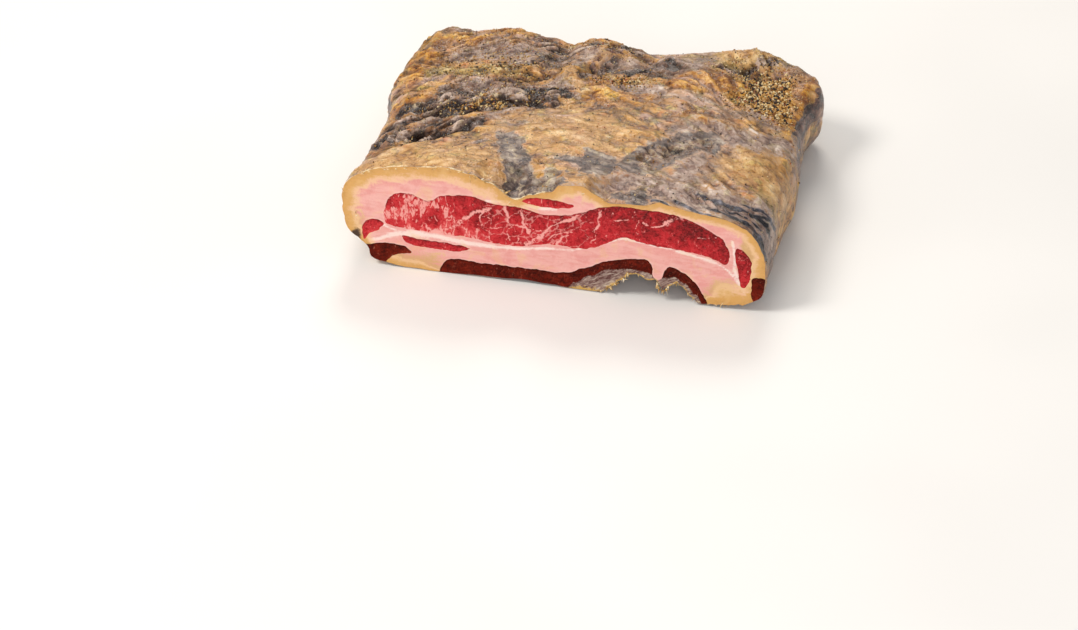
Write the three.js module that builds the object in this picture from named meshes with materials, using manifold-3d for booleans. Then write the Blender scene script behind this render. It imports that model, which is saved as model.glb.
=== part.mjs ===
// A slab of flat pancetta: cured, air-dried pork belly, cut straight across at one end.
// Units are millimetres. +X runs along the cut face, +Y from the cut towards the uncut end, +Z up.
// The origin is at the middle of the box's underside. The fat is one solid with the whole outer
// form, and each lean layer that shows at the cut is a solid that runs back through it.

import * as THREE from 'three';
import { mergeVertices } from 'three/addons/utils/BufferGeometryUtils.js';
import Module from 'manifold-3d';

const wasm = await Module();
wasm.setup();

// Driving dimensions of the slab
const cutY = -92;
const slabDepth = 180;
const leftEdge = -101.5;
const rightEdge = 104;
const leftSpread = 6.8;
const rightSpread = 4.5;
const frontThicknessLeft = 60;
const frontThicknessRight = 55;
const backThicknessLeft = 43;
const backThicknessRight = 47;
const backBulge = 13;
const cornerInset = 3;
const cornerLength = 16;
const upperPower = 3.2;
const lowerPower = 6;
const overshoot = 3;
const gap = 0.3;
const middleShift = [0.33, 2.1];

// Mesh steps of the outer form
const topColumns = 40;
const sideColumns = 4;
const flatColumns = 7;
const hollowColumns = 13;
const bodyRows = 33;
const endRows = 6;

// Small helpers
const clamp = THREE.MathUtils.clamp;
const lerp = THREE.MathUtils.lerp;
const smooth = THREE.MathUtils.smoothstep;

// Height between knots [x, z], eased so that the curve has no corners
function knotHeight(knots, x) {
  if (x <= knots[0][0]) return knots[0][1];
  for (let i = 1; i < knots.length; i++) {
    const [x0, z0] = knots[i - 1];
    const [x1, z1] = knots[i];
    if (x <= x1) return lerp(z0, z1, smooth(x, x0, x1));
  }
  return knots[knots.length - 1][1];
}

// Smooth random heights on a square lattice, from -1 to 1
function lattice(i, j) {
  const wave = Math.sin(i * 127.1 + j * 311.7) * 43758.5453;
  return (wave - Math.floor(wave)) * 2 - 1;
}

function lumps(x, y, size) {
  const u = x / size;
  const v = y / size;
  const i = Math.floor(u);
  const j = Math.floor(v);
  const a = smooth(u - i, 0, 1);
  const b = smooth(v - j, 0, 1);
  const near = lerp(lattice(i, j), lattice(i + 1, j), a);
  const far = lerp(lattice(i, j + 1), lattice(i + 1, j + 1), a);
  return lerp(near, far, b);
}

// Height of the rim along the cut, left to right
const rimKnots = [
  [-78, 60], [-50, 60], [-37, 58], [-29, 54], [-16, 46.5], [-9, 50], [1, 53], [5, 57], [15, 58],
  [31, 51], [45, 52.5], [53, 55.5], [67, 53.5], [80, 55.5],
];

// Hollow in the underside at the cut, with a torn tip hanging into it
const hollowKnots = [
  [26, 0], [31, 4], [36, 8], [38.5, 12], [43, 13], [48, 10.5], [52, 11], [55.5, 6], [58.5, 8.5],
  [61.5, 11], [65, 9], [69, 4], [73, 0],
];
const hollowCentre = 50;
const hollowHalfWidth = 24;
const hollowHeight = 12;
const hollowLength = 75;
const tornLength = 9;

// Folds of the dried skin. A furrow is a valley of the given depth and half width along a bent path;
// a step drops behind its path and comes back up over its run.
const furrows = [
  { path: [[-92, -48], [-74, -50], [-52, -34]], depth: 2.6, width: 4 },
  { path: [[-84, -28], [-52, -18], [-20, -2]], depth: 4.2, width: 5 },
  { path: [[-66, 2], [-42, 12], [-18, 34]], depth: 3.4, width: 5 },
  { path: [[-100, 30], [-80, 36], [-52, 62]], depth: 2.0, width: 5 },
  { path: [[-30, 28], [-22, 52], [-26, 76]], depth: 2.6, width: 5 },
  { path: [[-10, 24], [-6, 42], [12, 50]], depth: 2.8, width: 4 },
  { path: [[16, 66], [22, 44], [44, 40]], depth: 3.0, width: 5 },
  { path: [[56, 62], [70, 50], [86, 64]], depth: 3.2, width: 4.5 },
  { path: [[60, -62], [82, -78], [100, -96]], depth: 1.6, width: 3.5 },
  { path: [[74, -52], [92, -64], [106, -88]], depth: 1.6, width: 3.5 },
];
const steps = [
  { path: [[-100, -82], [-72, -64], [-42, -34]], drop: 5.5, run: 30 },
  { path: [[44, -22], [52, -40], [36, -66]], drop: 1.6, run: 16 },
];
const mounds = [
  { at: [72, 74], reach: [17, 12], height: 6 },
  { at: [84, 34], reach: [17, 26], height: -4.5 },
  { at: [54, 44], reach: [16, 8], height: 3 },
  { at: [-15, 26], reach: [9, 9], height: 3.4 },
  { at: [-4, 64], reach: [15, 13], height: 4.5 },
  { at: [28, 54], reach: [7, 8], height: 2.8 },
  { at: [-52, 70], reach: [20, 14], height: 3 },
  { at: [24, 78], reach: [14, 18], height: -4 },
  { at: [-28, 78], reach: [12, 16], height: -2.5 },
  { at: [-88, -6], reach: [14, 18], height: 2.6 },
  { at: [-18, -74], reach: [9, 24], height: -2 },
];

// Signed distance from a bent path, positive on its left, and how far along it, from 0 to 1
const pathSteps = 16;
function bend([from, via, to], t) {
  const a = (1 - t) * (1 - t);
  const b = 2 * t * (1 - t);
  const c = t * t;
  return [a * from[0] + b * via[0] + c * to[0], a * from[1] + b * via[1] + c * to[1]];
}

function besidePath(path, x, y) {
  let best = { distance: Infinity, side: 1, along: 0 };
  for (let i = 0; i < pathSteps; i++) {
    const [ax, ay] = bend(path, i / pathSteps);
    const [bx, by] = bend(path, (i + 1) / pathSteps);
    const dx = bx - ax;
    const dy = by - ay;
    const t = clamp(((x - ax) * dx + (y - ay) * dy) / (dx * dx + dy * dy), 0, 1);
    const px = x - ax - t * dx;
    const py = y - ay - t * dy;
    const distance = Math.hypot(px, py);
    if (distance < best.distance) {
      best = { distance, side: dx * py - dy * px >= 0 ? 1 : -1, along: (i + t) / pathSteps };
    }
  }
  return best;
}

const endShare = 0.18;
function endFade(along) {
  return smooth(along, 0, endShare) * (1 - smooth(along, 1 - endShare, 1));
}

const stepFront = 2.5;
function foldRelief(x, y) {
  let height = 0;
  for (const { path, depth, width } of furrows) {
    const near = besidePath(path, x, y);
    height -= depth * endFade(near.along) * Math.exp(-((near.distance / width) ** 2));
  }
  for (const { path, drop, run } of steps) {
    const near = besidePath(path, x, y);
    const behind = near.side * near.distance;
    const shape = smooth(behind, -stepFront, stepFront) * (1 - smooth(behind, stepFront, run));
    height -= drop * endFade(near.along) * shape;
  }
  for (const { at, reach, height: rise } of mounds) {
    const u = (x - at[0]) / reach[0];
    const v = (y - at[1]) / reach[1];
    height += rise * Math.exp(-(u * u + v * v));
  }
  return height;
}

// Thickness without folds: thick at the cut, thinner at the uncut end
function plainTop(x, y) {
  const across = smooth(x, leftEdge, rightEdge);
  const along = clamp((y - cutY) / slabDepth, 0, 1);
  const front = lerp(frontThicknessLeft, frontThicknessRight, across);
  const back = lerp(backThicknessLeft, backThicknessRight, across);
  return lerp(front, back, along);
}

const rimRun = 26;
const lumpSize = 21;
const lumpHeight = 1.3;
function topHeight(x, y) {
  const nearCut = 1 - smooth(y, cutY, cutY + rimRun);
  const plain = plainTop(x, y);
  const skin = foldRelief(x, y) + lumpHeight * lumps(x, y, lumpSize);
  const rim = knotHeight(rimKnots, x);
  return lerp(plain + skin, rim, nearCut);
}

function hollow(x, y) {
  const back = y - cutY;
  const round = hollowHeight * Math.max(0, 1 - ((x - hollowCentre) / hollowHalfWidth) ** 2);
  const torn = knotHeight(hollowKnots, x);
  const fade = 1 - smooth(back, 0, hollowLength);
  return lerp(torn, round, smooth(back, 0, tornLength)) * fade;
}

const arch = { at: -12, reach: 26, height: 1.4, run: 50 };
function bottomHeight(x, y) {
  const across = Math.exp(-(((x - arch.at) / arch.reach) ** 2));
  return hollow(x, y) + arch.height * across * (1 - smooth(y, cutY, cutY + arch.run));
}

// The sides spread apart towards the uncut end, the left one in a step halfway. The left one is
// trimmed at its foot. The right one leans out towards its foot and swells behind the cut.
const leftStep = [-8, 18];
const rightStep = [44, 66];
const swell = { at: -18, reach: 26, height: 2.5 };
const trim = { level: -0.68, reach: 0.22, depth: 10 };
const rightLean = 3;
const wave = { height: 1.2, size: 18, levels: 12, row: 40 };
function edges(level, y) {
  const back = y - (cutY + slabDepth - backBulge - cornerLength);
  const inset = cornerInset * clamp(back / cornerLength, 0, 1) ** 2;
  const swollen = swell.height * Math.exp(-(((y - swell.at) / swell.reach) ** 2));
  const trimmed = trim.depth * Math.exp(-(((level - trim.level) / trim.reach) ** 2));
  const waveLeft = wave.height * lumps(y, level * wave.levels + wave.row, wave.size);
  const waveRight = wave.height * lumps(y, level * wave.levels - wave.row, wave.size);
  const left = leftEdge - leftSpread * smooth(y, ...leftStep);
  const right = rightEdge + rightSpread * smooth(y, ...rightStep) + swollen;
  return {
    left: left + inset + trimmed + waveLeft,
    right: right - inset - rightLean * Math.max(0, level) + waveRight,
  };
}

// The section's columns: points of a superellipse in a square from -1 to 1, clockwise seen from
// the cut. It is rounder above than below. Its columns are evenly spaced along the top and up
// the sides, and closer under the hollow than along the flat of the underside.
function cornerOf(power) {
  return 0.5 ** (1 / power);
}

function rest(value, power) {
  return Math.max(0, 1 - Math.abs(value) ** power) ** (1 / power);
}

const hollowStart = 0.2;
const hollowEnd = 0.72;
const footColumns = 2;
function sectionColumns() {
  const upper = cornerOf(upperPower);
  const lower = cornerOf(lowerPower);
  const columns = [];
  const edge = (from, to, count, place) => {
    for (let i = 0; i < count; i++) columns.push(place(lerp(from, to, i / count)));
  };
  edge(-upper, upper, topColumns, (value) => [value, rest(value, upperPower)]);
  edge(upper, 0, sideColumns, (value) => [rest(value, upperPower), value]);
  edge(0, -lower, sideColumns, (value) => [rest(value, lowerPower), value]);
  edge(lower, hollowEnd, footColumns, (value) => [value, -rest(value, lowerPower)]);
  edge(hollowEnd, hollowStart, hollowColumns, (value) => [value, -rest(value, lowerPower)]);
  edge(hollowStart, -lower, flatColumns, (value) => [value, -rest(value, lowerPower)]);
  edge(-lower, 0, sideColumns, (value) => [-rest(value, lowerPower), value]);
  edge(0, upper, sideColumns, (value) => [-rest(value, upperPower), value]);
  return columns;
}

// The uncut end's plan: rounded at both corners, a little hollow right of the middle
const endCorner = 1.5;
const endHollow = { at: 0.22, reach: 0.22, depth: 3.5 };
const setBack = { from: -0.6, to: -0.2, depth: 4 };
function backStart(across) {
  const corner = endCorner * across ** 4;
  const dip = endHollow.depth * Math.exp(-(((across - endHollow.at) / endHollow.reach) ** 2));
  const back = setBack.depth * smooth(across, setBack.from, setBack.to);
  return cutY + slabDepth - backBulge - corner - dip - back;
}

function bodyPoint([across, level], travel) {
  const y = lerp(cutY - overshoot, backStart(across), travel);
  const { left, right } = edges(level, y);
  const x = lerp(left, right, (1 + across) / 2);
  const reach = Math.max(y, cutY);
  return [x, y, lerp(bottomHeight(x, reach), topHeight(x, reach), (1 + level) / 2)];
}

// The rounded end: the section closes to its middle height as it bulges back
const endPower = 2.3;
const endNarrowing = 0.1;
const middleLevel = 0.44;
const lastClosing = 0.96;
function endPoint(column, closing) {
  const open = 1 - closing;
  const [x, y, z] = bodyPoint(column, 1);
  const middle = lerp(bottomHeight(x, y), topHeight(x, y), middleLevel);
  const out = (1 - open ** endPower) ** (1 / endPower);
  return [
    x * (1 - endNarrowing * out * out),
    y + backBulge * out,
    middle + (z - middle) * open,
  ];
}

// Rings of equal length joined into one closed geometry, with flat ends
function loft(rings) {
  const count = rings[0].length;
  const faces = [];
  const add = (flip, a, b, c) => (flip ? faces.push(a, c, b) : faces.push(a, b, c));
  const outlines = rings.map((ring) => ring.map(([x, , z]) => new THREE.Vector2(x, z)));
  const clockwise = THREE.ShapeUtils.isClockWise(outlines[0]);
  for (let r = 0; r + 1 < rings.length; r++) {
    for (let i = 0; i < count; i++) {
      const a = r * count + i;
      const b = r * count + ((i + 1) % count);
      add(clockwise, a, a + count, b);
      add(clockwise, b, a + count, b + count);
    }
  }
  for (const r of [0, rings.length - 1]) {
    const lid = THREE.ShapeUtils.triangulateShape(outlines[r], []);
    const areas = lid.map((corners) => THREE.ShapeUtils.area(corners.map((i) => outlines[r][i])));
    const area = areas.reduce((sum, value) => sum + value, 0);
    const first = r * count;
    for (const [a, b, c] of lid) add((area > 0) === (r > 0), first + a, first + b, first + c);
  }
  const geometry = new THREE.BufferGeometry();
  geometry.setAttribute('position', new THREE.Float32BufferAttribute(rings.flat(2), 3));
  geometry.setIndex(faces);
  return geometry;
}

// Between three.js geometries and solids that can be cut
function solidOf(geometry) {
  return new wasm.Manifold(new wasm.Mesh({
    numProp: 3,
    vertProperties: Float32Array.from(geometry.getAttribute('position').array),
    triVerts: Uint32Array.from(geometry.index.array),
  }));
}

function geometryOf(solid) {
  const mesh = solid.getMesh();
  const geometry = new THREE.BufferGeometry();
  geometry.setAttribute('position', new THREE.Float32BufferAttribute(mesh.vertProperties, 3));
  geometry.setIndex(Array.from(mesh.triVerts));
  geometry.computeVertexNormals();
  return geometry;
}

// The part of space in front of the cut
const roomSize = 400;
function spaceInFront() {
  const box = new THREE.BoxGeometry(roomSize, roomSize, roomSize);
  box.translate(0, cutY - roomSize / 2, 0);
  box.deleteAttribute('normal');
  box.deleteAttribute('uv');
  return solidOf(mergeVertices(box));
}

// The whole outer form, cut straight across at the front
function outerForm() {
  const columns = sectionColumns();
  const rings = [];
  for (let i = 0; i <= bodyRows; i++) rings.push(columns.map((column) => bodyPoint(column, i / bodyRows)));
  for (let i = 1; i <= endRows; i++) {
    const closing = Math.min(i / endRows, lastClosing);
    rings.push(columns.map((column) => endPoint(column, closing)));
  }
  return solidOf(loft(rings)).subtract(spaceInFront());
}

// Lean layers: outlines at the cut as [x, z], what share of the slab's depth they run through,
// and how many points the outline takes
const leanLayers = {
  lean_main: {
    reach: 0.86,
    points: 48,
    outline: [
      [-80, 25], [-80, 32], [-77, 40], [-68, 43], [-59, 40], [-52, 43.5], [-38, 45.5], [-27, 43],
      [-13, 42.5], [-4, 40.5], [6, 41], [14, 43], [22, 47], [32, 49.5], [52, 49.5], [65, 47.5],
      [76, 43], [84, 37], [87, 29], [85, 25], [76, 28], [60, 30], [46, 31], [36, 33], [28, 28.5],
      [18, 24], [0, 24], [-15, 20.5], [-40, 22], [-65, 22.5],
    ],
  },
  lean_top: {
    reach: 0.3,
    points: 18,
    outline: [[-13, 46.3], [-8, 48.8], [4, 48.9], [12, 47], [8, 45.2], [-4, 44.6]],
  },
  lean_streak: {
    reach: 0.62,
    points: 20,
    outline: [[-72, 18.4], [-62, 17.6], [-46, 17.3], [-38, 15.8], [-44, 13.4], [-58, 13.4], [-69, 14.6]],
  },
  lean_left: {
    reach: 0.7,
    points: 18,
    outline: [[-91, 14], [-91.5, 20], [-90, 24.5], [-84, 26], [-81, 24.5], [-84, 19.6], [-88, 17.5]],
  },
  lean_corner: {
    reach: 0.8,
    points: 18,
    outline: [
      [-95, 8.5], [-88, 11.6], [-80, 13.2], [-70, 12.2], [-67.5, 9.5], [-74, 7.6], [-79, 4], [-84, -4],
    ],
  },
  lean_bottom: {
    reach: 0.9,
    points: 34,
    outline: [
      [-54, -4], [-52, 5], [-48, 8.6], [-30, 8.4], [-8, 8.6], [8, 9], [20, 14], [30, 19.2], [41, 21.6],
      [49, 21.2], [50.6, 14], [50.6, -4], [20, -4],
    ],
  },
  lean_bottom_end: {
    reach: 0.5,
    points: 18,
    outline: [[55.6, -4], [55.6, 15], [58, 19.6], [65, 17.4], [71, 12.4], [75, 6], [77, -4]],
  },
  lean_side: {
    reach: 0.75,
    points: 20,
    outline: [
      [89.6, 34.6], [93.5, 33.4], [97, 27.5], [96.6, 18], [94.8, 13.2], [92.6, 13.4], [91.4, 20], [89.9, 27],
    ],
  },
  lean_side_low: {
    reach: 0.42,
    points: 16,
    outline: [[98.6, 19], [108, 18], [110, 8], [104, 3], [98.6, 6.5], [97.6, 12]],
  },
};

// How a point of the cut moves as its layer runs back: it follows the thickness, keeps clear of
// the skin, and sinks where the hollow under the slab fades out
const sinking = 0.07;
const sinkingRun = 0.08;
const narrowing = 0.05;
const hollowTopReach = 45;
const hollowFootReach = 14;
function runBack([x, z], y) {
  const along = clamp((y - cutY) / slabDepth, 0, 1);
  const share = plainTop(x, y) / plainTop(x, cutY);
  const drop = hollow(x, cutY + tornLength) - hollow(x, Math.max(y, cutY + tornLength));
  const felt = 1 - smooth(z, hollowFootReach, hollowTopReach);
  const clear = 1 - sinking * smooth(along, 0, sinkingRun);
  return [x * (1 - narrowing * along), y, (z - Math.max(0, drop) * felt) * share * clear];
}

const layerRows = 6;
const endTaper = 0.45;
function layerSolid({ outline, points, reach }, grow) {
  const knots = outline.map(([x, z]) => new THREE.Vector3(x, 0, z));
  const curve = new THREE.CatmullRomCurve3(knots, true, 'centripetal');
  const base = curve.getSpacedPoints(points).slice(0, points).map((point) => [point.x, point.z]);
  const grown = base.map(([x, z], i) => {
    const [ax, az] = base[(i + points - 1) % points];
    const [bx, bz] = base[(i + 1) % points];
    const length = Math.hypot(bx - ax, bz - az);
    return [x - grow * (bz - az) / length, z + grow * (bx - ax) / length];
  });
  const middle = [0, 1].map((k) => grown.reduce((sum, point) => sum + point[k], 0) / points);
  const rings = [];
  for (let i = 0; i <= layerRows; i++) {
    const travel = i / layerRows;
    const y = lerp(cutY - overshoot, cutY + slabDepth * reach + grow, travel);
    const slim = 1 - endTaper * travel ** 3;
    rings.push(grown.map((point) => {
      const slimmed = point.map((value, k) => middle[k] + (value - middle[k]) * slim);
      return runBack(slimmed, y);
    }));
  }
  return solidOf(loft(rings));
}

// Colours of the cut layers
const leanLook = { color: 0xa8323a, roughness: 0.45, metalness: 0 };
const dryLeanLook = { color: 0x6e2c2a, roughness: 0.6, metalness: 0 };
const fatLook = { color: 0xe2b894, roughness: 0.55, metalness: 0 };
const dryLayers = ['lean_corner', 'lean_bottom', 'lean_bottom_end', 'lean_side_low'];

const group = new THREE.Group();

function addPiece(name, solid, look) {
  const piece = new THREE.Mesh(geometryOf(solid), new THREE.MeshStandardMaterial(look));
  piece.position.set(...middleShift, 0);
  piece.name = name;
  group.add(piece);
}

const outer = outerForm();
let fat = outer;
for (const [name, layer] of Object.entries(leanLayers)) {
  fat = fat.subtract(layerSolid(layer, gap));
  addPiece(name, layerSolid(layer, 0).intersect(outer), dryLayers.includes(name) ? dryLeanLook : leanLook);
}
addPiece('fat', fat, fatLook);

export default group;
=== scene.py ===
"""A slab of flat pancetta: cured, air-dried pork belly, cut straight across at one end."""

import itertools
import math

import bpy
import numpy as np
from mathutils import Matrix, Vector


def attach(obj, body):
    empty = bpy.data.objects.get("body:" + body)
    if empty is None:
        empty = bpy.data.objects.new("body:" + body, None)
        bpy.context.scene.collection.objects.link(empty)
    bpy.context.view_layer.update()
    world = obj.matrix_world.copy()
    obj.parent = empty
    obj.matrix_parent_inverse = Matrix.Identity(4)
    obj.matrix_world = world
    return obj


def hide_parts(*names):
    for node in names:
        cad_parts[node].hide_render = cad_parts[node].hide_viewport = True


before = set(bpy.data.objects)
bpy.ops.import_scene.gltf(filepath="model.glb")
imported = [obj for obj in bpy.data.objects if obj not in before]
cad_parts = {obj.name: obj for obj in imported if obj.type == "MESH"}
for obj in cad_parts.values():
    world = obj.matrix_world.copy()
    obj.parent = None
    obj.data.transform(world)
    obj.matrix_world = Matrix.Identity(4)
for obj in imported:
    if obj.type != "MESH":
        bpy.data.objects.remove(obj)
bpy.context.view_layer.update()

bl_info = {
    "name": "Flat Pancetta",
    "version": (1, 0, 0),
    "blender": (4, 5, 0),
    "location": "3D View > Sidebar > Pancetta",
    "description": "Cut slab of flat pancetta with wrinkled skin, lean layers and spice",
    "category": "Add Mesh",
}

MM = 0.001

# Driving dimensions of the slab, in millimetres. The cut faces -Y.
CUT_Y = -92.0
SLAB_DEPTH = 180.0
LEFT_EDGE = -101.5
RIGHT_EDGE = 104.0
LEFT_SPREAD = 6.8
RIGHT_SPREAD = 4.5
FRONT_THICKNESS = (60.0, 55.0)
BACK_THICKNESS = (43.0, 47.0)
BACK_BULGE = 13.0
CORNER_INSET = 3.0
CORNER_LENGTH = 16.0
UPPER_POWER = 3.2
LOWER_POWER = 6.0
OVERSHOOT = 3.0
MIDDLE_SHIFT = (0.33, 2.1, 0.0)

# Mesh steps of the skin, and of the cut
TOP_COLUMNS = 232
SIDE_COLUMNS = 22
FOOT_COLUMNS = 10
HOLLOW_COLUMNS = 48
FLAT_COLUMNS = 34
BODY_ROWS = 176
END_ROWS = 24
FAT_STEP = 0.9
LEAN_STEP = 0.5
OUTLINE_STEP = 0.55

# Height of the rim along the cut, left to right, as (x, z)
RIM = (
    (-78, 60), (-50, 60), (-37, 58), (-29, 54), (-16, 46.5), (-9, 50), (1, 53), (5, 57), (15, 58),
    (31, 51), (45, 52.5), (53, 55.5), (67, 53.5), (80, 55.5),
)
RIM_RUN = 26.0

# Hollow in the underside at the cut, with a torn tip hanging into it
HOLLOW = (
    (26, 0), (31, 4), (36, 8), (38.5, 12), (43, 13), (48, 10.5), (52, 11), (55.5, 6), (58.5, 8.5),
    (61.5, 11), (65, 9), (69, 4), (73, 0),
)
HOLLOW_CENTRE = 50.0
HOLLOW_HALF_WIDTH = 24.0
HOLLOW_HEIGHT = 12.0
HOLLOW_LENGTH = 75.0
TORN_LENGTH = 9.0

# Folds of the dried skin: valleys (path, depth, half width), steps (path, drop, run) and
# mounds (middle, reach, height)
FURROWS = (
    (((-92, -48), (-74, -50), (-52, -34)), 2.6, 4),
    (((-84, -28), (-52, -18), (-20, -2)), 4.2, 5),
    (((-66, 2), (-42, 12), (-18, 34)), 3.4, 5),
    (((-100, 30), (-80, 36), (-52, 62)), 2.0, 5),
    (((-30, 28), (-22, 52), (-26, 76)), 2.6, 5),
    (((-10, 24), (-6, 42), (12, 50)), 2.8, 4),
    (((16, 66), (22, 44), (44, 40)), 3.0, 5),
    (((56, 62), (70, 50), (86, 64)), 3.2, 4.5),
    (((60, -62), (82, -78), (100, -96)), 1.6, 3.5),
    (((74, -52), (92, -64), (106, -88)), 1.6, 3.5),
)
STEPS = (
    (((-100, -82), (-72, -64), (-42, -34)), 5.5, 30),
    (((44, -22), (52, -40), (36, -66)), 1.6, 16),
)
MOUNDS = (
    ((72, 74), (17, 12), 6),
    ((84, 34), (17, 26), -4.5),
    ((54, 44), (16, 8), 3),
    ((-15, 26), (9, 9), 3.4),
    ((-4, 64), (15, 13), 4.5),
    ((28, 54), (7, 8), 2.8),
    ((-52, 70), (20, 14), 3),
    ((24, 78), (14, 18), -4),
    ((-28, 78), (12, 16), -2.5),
    ((-88, -6), (14, 18), 2.6),
    ((-18, -74), (9, 24), -2),
)

# Lean layers: outline at the cut as (x, z), share of the depth that it runs through, and the slot
# of its finish
LEAN_LAYERS = {
    "lean_main": (0.86, "lean", (
        (-80, 25), (-80, 32), (-77, 40), (-68, 43), (-59, 40), (-52, 43.5), (-38, 45.5), (-27, 43),
        (-13, 42.5), (-4, 40.5), (6, 41), (14, 43), (22, 47), (32, 49.5), (52, 49.5), (65, 47.5),
        (76, 43), (84, 37), (87, 29), (85, 25), (76, 28), (60, 30), (46, 31), (36, 33), (28, 28.5),
        (18, 24), (0, 24), (-15, 20.5), (-40, 22), (-65, 22.5),
    )),
    "lean_top": (0.3, "lean", (
        (-13, 46.3), (-8, 48.8), (4, 48.9), (12, 47), (8, 45.2), (-4, 44.6),
    )),
    "lean_streak": (0.62, "lean", (
        (-72, 18.4), (-62, 17.6), (-46, 17.3), (-38, 15.8), (-44, 13.4), (-58, 13.4), (-69, 14.6),
    )),
    "lean_left": (0.7, "lean", (
        (-91, 14), (-91.5, 20), (-90, 24.5), (-84, 26), (-81, 24.5), (-84, 19.6), (-88, 17.5),
    )),
    "lean_corner": (0.8, "dried_lean", (
        (-95, 8.5), (-88, 11.6), (-80, 13.2), (-70, 12.2), (-67.5, 9.5), (-74, 7.6), (-79, 4),
        (-84, -4),
    )),
    "lean_bottom": (0.9, "dried_lean", (
        (-54, -4), (-52, 5), (-48, 8.6), (-30, 8.4), (-8, 8.6), (8, 9), (20, 14), (30, 19.2),
        (41, 21.6), (49, 21.2), (50.6, 14), (50.6, -4), (20, -4),
    )),
    "lean_bottom_end": (0.5, "dried_lean", (
        (55.6, -4), (55.6, 15), (58, 19.6), (65, 17.4), (71, 12.4), (75, 6), (77, -4),
    )),
    "lean_side": (0.75, "lean", (
        (89.6, 34.6), (93.5, 33.4), (97, 27.5), (96.6, 18), (94.8, 13.2), (92.6, 13.4), (91.4, 20),
        (89.9, 27),
    )),
    "lean_side_low": (0.42, "dried_lean", (
        (98.6, 19), (108, 18), (110, 8), (104, 3), (98.6, 6.5), (97.6, 12),
    )),
}

# Seams of fat across the lean, as bent paths of (x, z) with their half width
SEAMS = (
    (((-63, 20), (-50, 22), (-44, 29)), 1.5),
    (((-44, 29), (-39, 36), (-28, 39.5)), 0.9),
    (((-21.5, 43), (-20.5, 36), (-18, 31)), 0.6),
    (((-18, 31), (-20, 27), (-19, 22)), 0.35),
    (((-19, 32), (-15, 33), (-9, 30)), 0.3),
    (((-13.5, 40), (-12, 34), (-10, 28)), 0.45),
    (((-11, 33), (-7, 31), (-2, 31)), 0.28),
    (((-11, 30), (-7, 28), (-4, 29)), 0.25),
    (((-11, 22), (-5, 26), (-1, 31)), 1.0),
    (((-1, 31), (5, 36), (13, 40)), 0.4),
    (((7, 37), (12, 40), (17, 44)), 0.65),
    (((25, 46.5), (24, 41), (23, 35)), 0.5),
    (((23, 35), (23, 31), (21, 27)), 0.25),
    (((28, 42), (33, 40), (38, 43)), 0.35),
    (((4, 23.5), (5, 28), (10, 29.5)), 0.4),
    (((45, 41.5), (53, 39), (57, 44.5)), 0.5),
    (((56, 43), (60, 46.5), (67, 48.5)), 1.1),
    (((69, 37), (73, 38.5), (77, 37.5)), 0.25),
    (((-31, 39), (-35, 33), (-31, 27)), 0.35),
    (((-35, 30), (-29, 28), (-22, 29.5)), 0.3),
    (((-29, 36), (-27, 32), (-29, 22)), 0.22),
    (((-16, 20), (-13, 25), (-16, 29)), 0.3),
    (((-2, 24), (3, 30), (12, 32)), 0.22),
    (((41, 48), (44, 44), (42, 38)), 0.22),
)

# White bands of connective tissue in the fat at the cut, and paler streaks
SINEWS = (
    (((-93, 12.5), (-86, 13.5), (-78, 17.5)), 1.2),
    (((-78, 17.5), (-70, 21.5), (-52, 19.8)), 1.7),
    (((-52, 19.8), (-36, 18), (-16, 18.8)), 1.3),
    (((-16, 18.8), (-4, 21.6), (12, 22)), 0.9),
    (((12, 22), (26, 28), (36, 32)), 0.7),
    (((36, 32), (62, 29.6), (80, 25)), 0.9),
    (((80, 25), (88, 22), (92, 13)), 0.7),
    (((87.5, 38), (89.4, 30), (89, 23)), 0.8),
    (((89, 23), (92, 14), (96, 7)), 0.9),
    (((-14, 43.8), (-6, 42.6), (4, 43.6)), 0.9),
    (((-30, 43.6), (-22, 43.8), (-14, 46)), 0.8),
    (((-82, 24), (-78, 21), (-72, 20.5)), 0.8),
)

# Upper side of the torn zone that runs along the hollow at the cut, as (x, z)
TORN = (
    (6, -1), (13, 4.5), (20, 9.5), (30, 14.5), (40, 16), (49, 15), (52.5, 11.5), (56, 13.5),
    (61, 14.5), (66, 11.5), (71, 6.5), (76, 0),
)

# Creamy yellow fat in the feet of the cut, and the dark dried spot on its left edge, as
# (middle, reach)
CREAMY = (((-68, 1.5), (19, 7.5)), ((85, 0), (12, 13)), ((96, 30), (4, 22)), ((-97, 22), (6, 9)))
DRIED = (((-94.5, 16), (2.6, 3.4)), ((-90.5, 8), (4.5, 4.5)))

# Loose shreds on the cut: a bent path of (x, z), how many, length, width, and where they point
SHREDS = (
    (((-90, 53), (-64, 61.5), (-38, 57)), 40, 1.7, 0.8, (1.0, -0.15, 0.1)),
    (((-38, 57), (-26, 53), (-15, 46)), 20, 1.6, 0.8, (0.9, -0.2, 0.0)),
    (((-12, 48), (6, 58.5), (30, 51)), 16, 1.2, 0.5, (1.0, -0.2, 0.05)),
    (((-101.6, 42), (-101.2, 40), (-99.6, 36)), 5, 0.9, 0.8, (-0.3, -0.3, 0.3)),
    (((-94, 30), (-95, 27), (-93.5, 24)), 5, 1.2, 0.9, (-0.4, -0.3, 0.4)),
    (((24.5, 1.4), (30, 3.2), (36.5, 9.5)), 30, 1.0, 1.0, (0.4, -0.25, -0.8)),
    (((37, 11.8), (43, 15.5), (50, 11.2)), 26, 0.9, 0.8, (0.3, -0.25, -0.8)),
    (((52, 11), (55.6, 2.2), (58.5, 9)), 26, 1.5, 0.8, (0.1, -0.25, -1.0)),
    (((60, 11), (67, 9.8), (73.5, 1)), 26, 0.9, 0.7, (-0.3, -0.25, -0.8)),
    (((78, 1.4), (84, 0.8), (90, 1.6)), 6, 1.4, 0.5, (0.5, -0.6, 0.1)),
)

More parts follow.
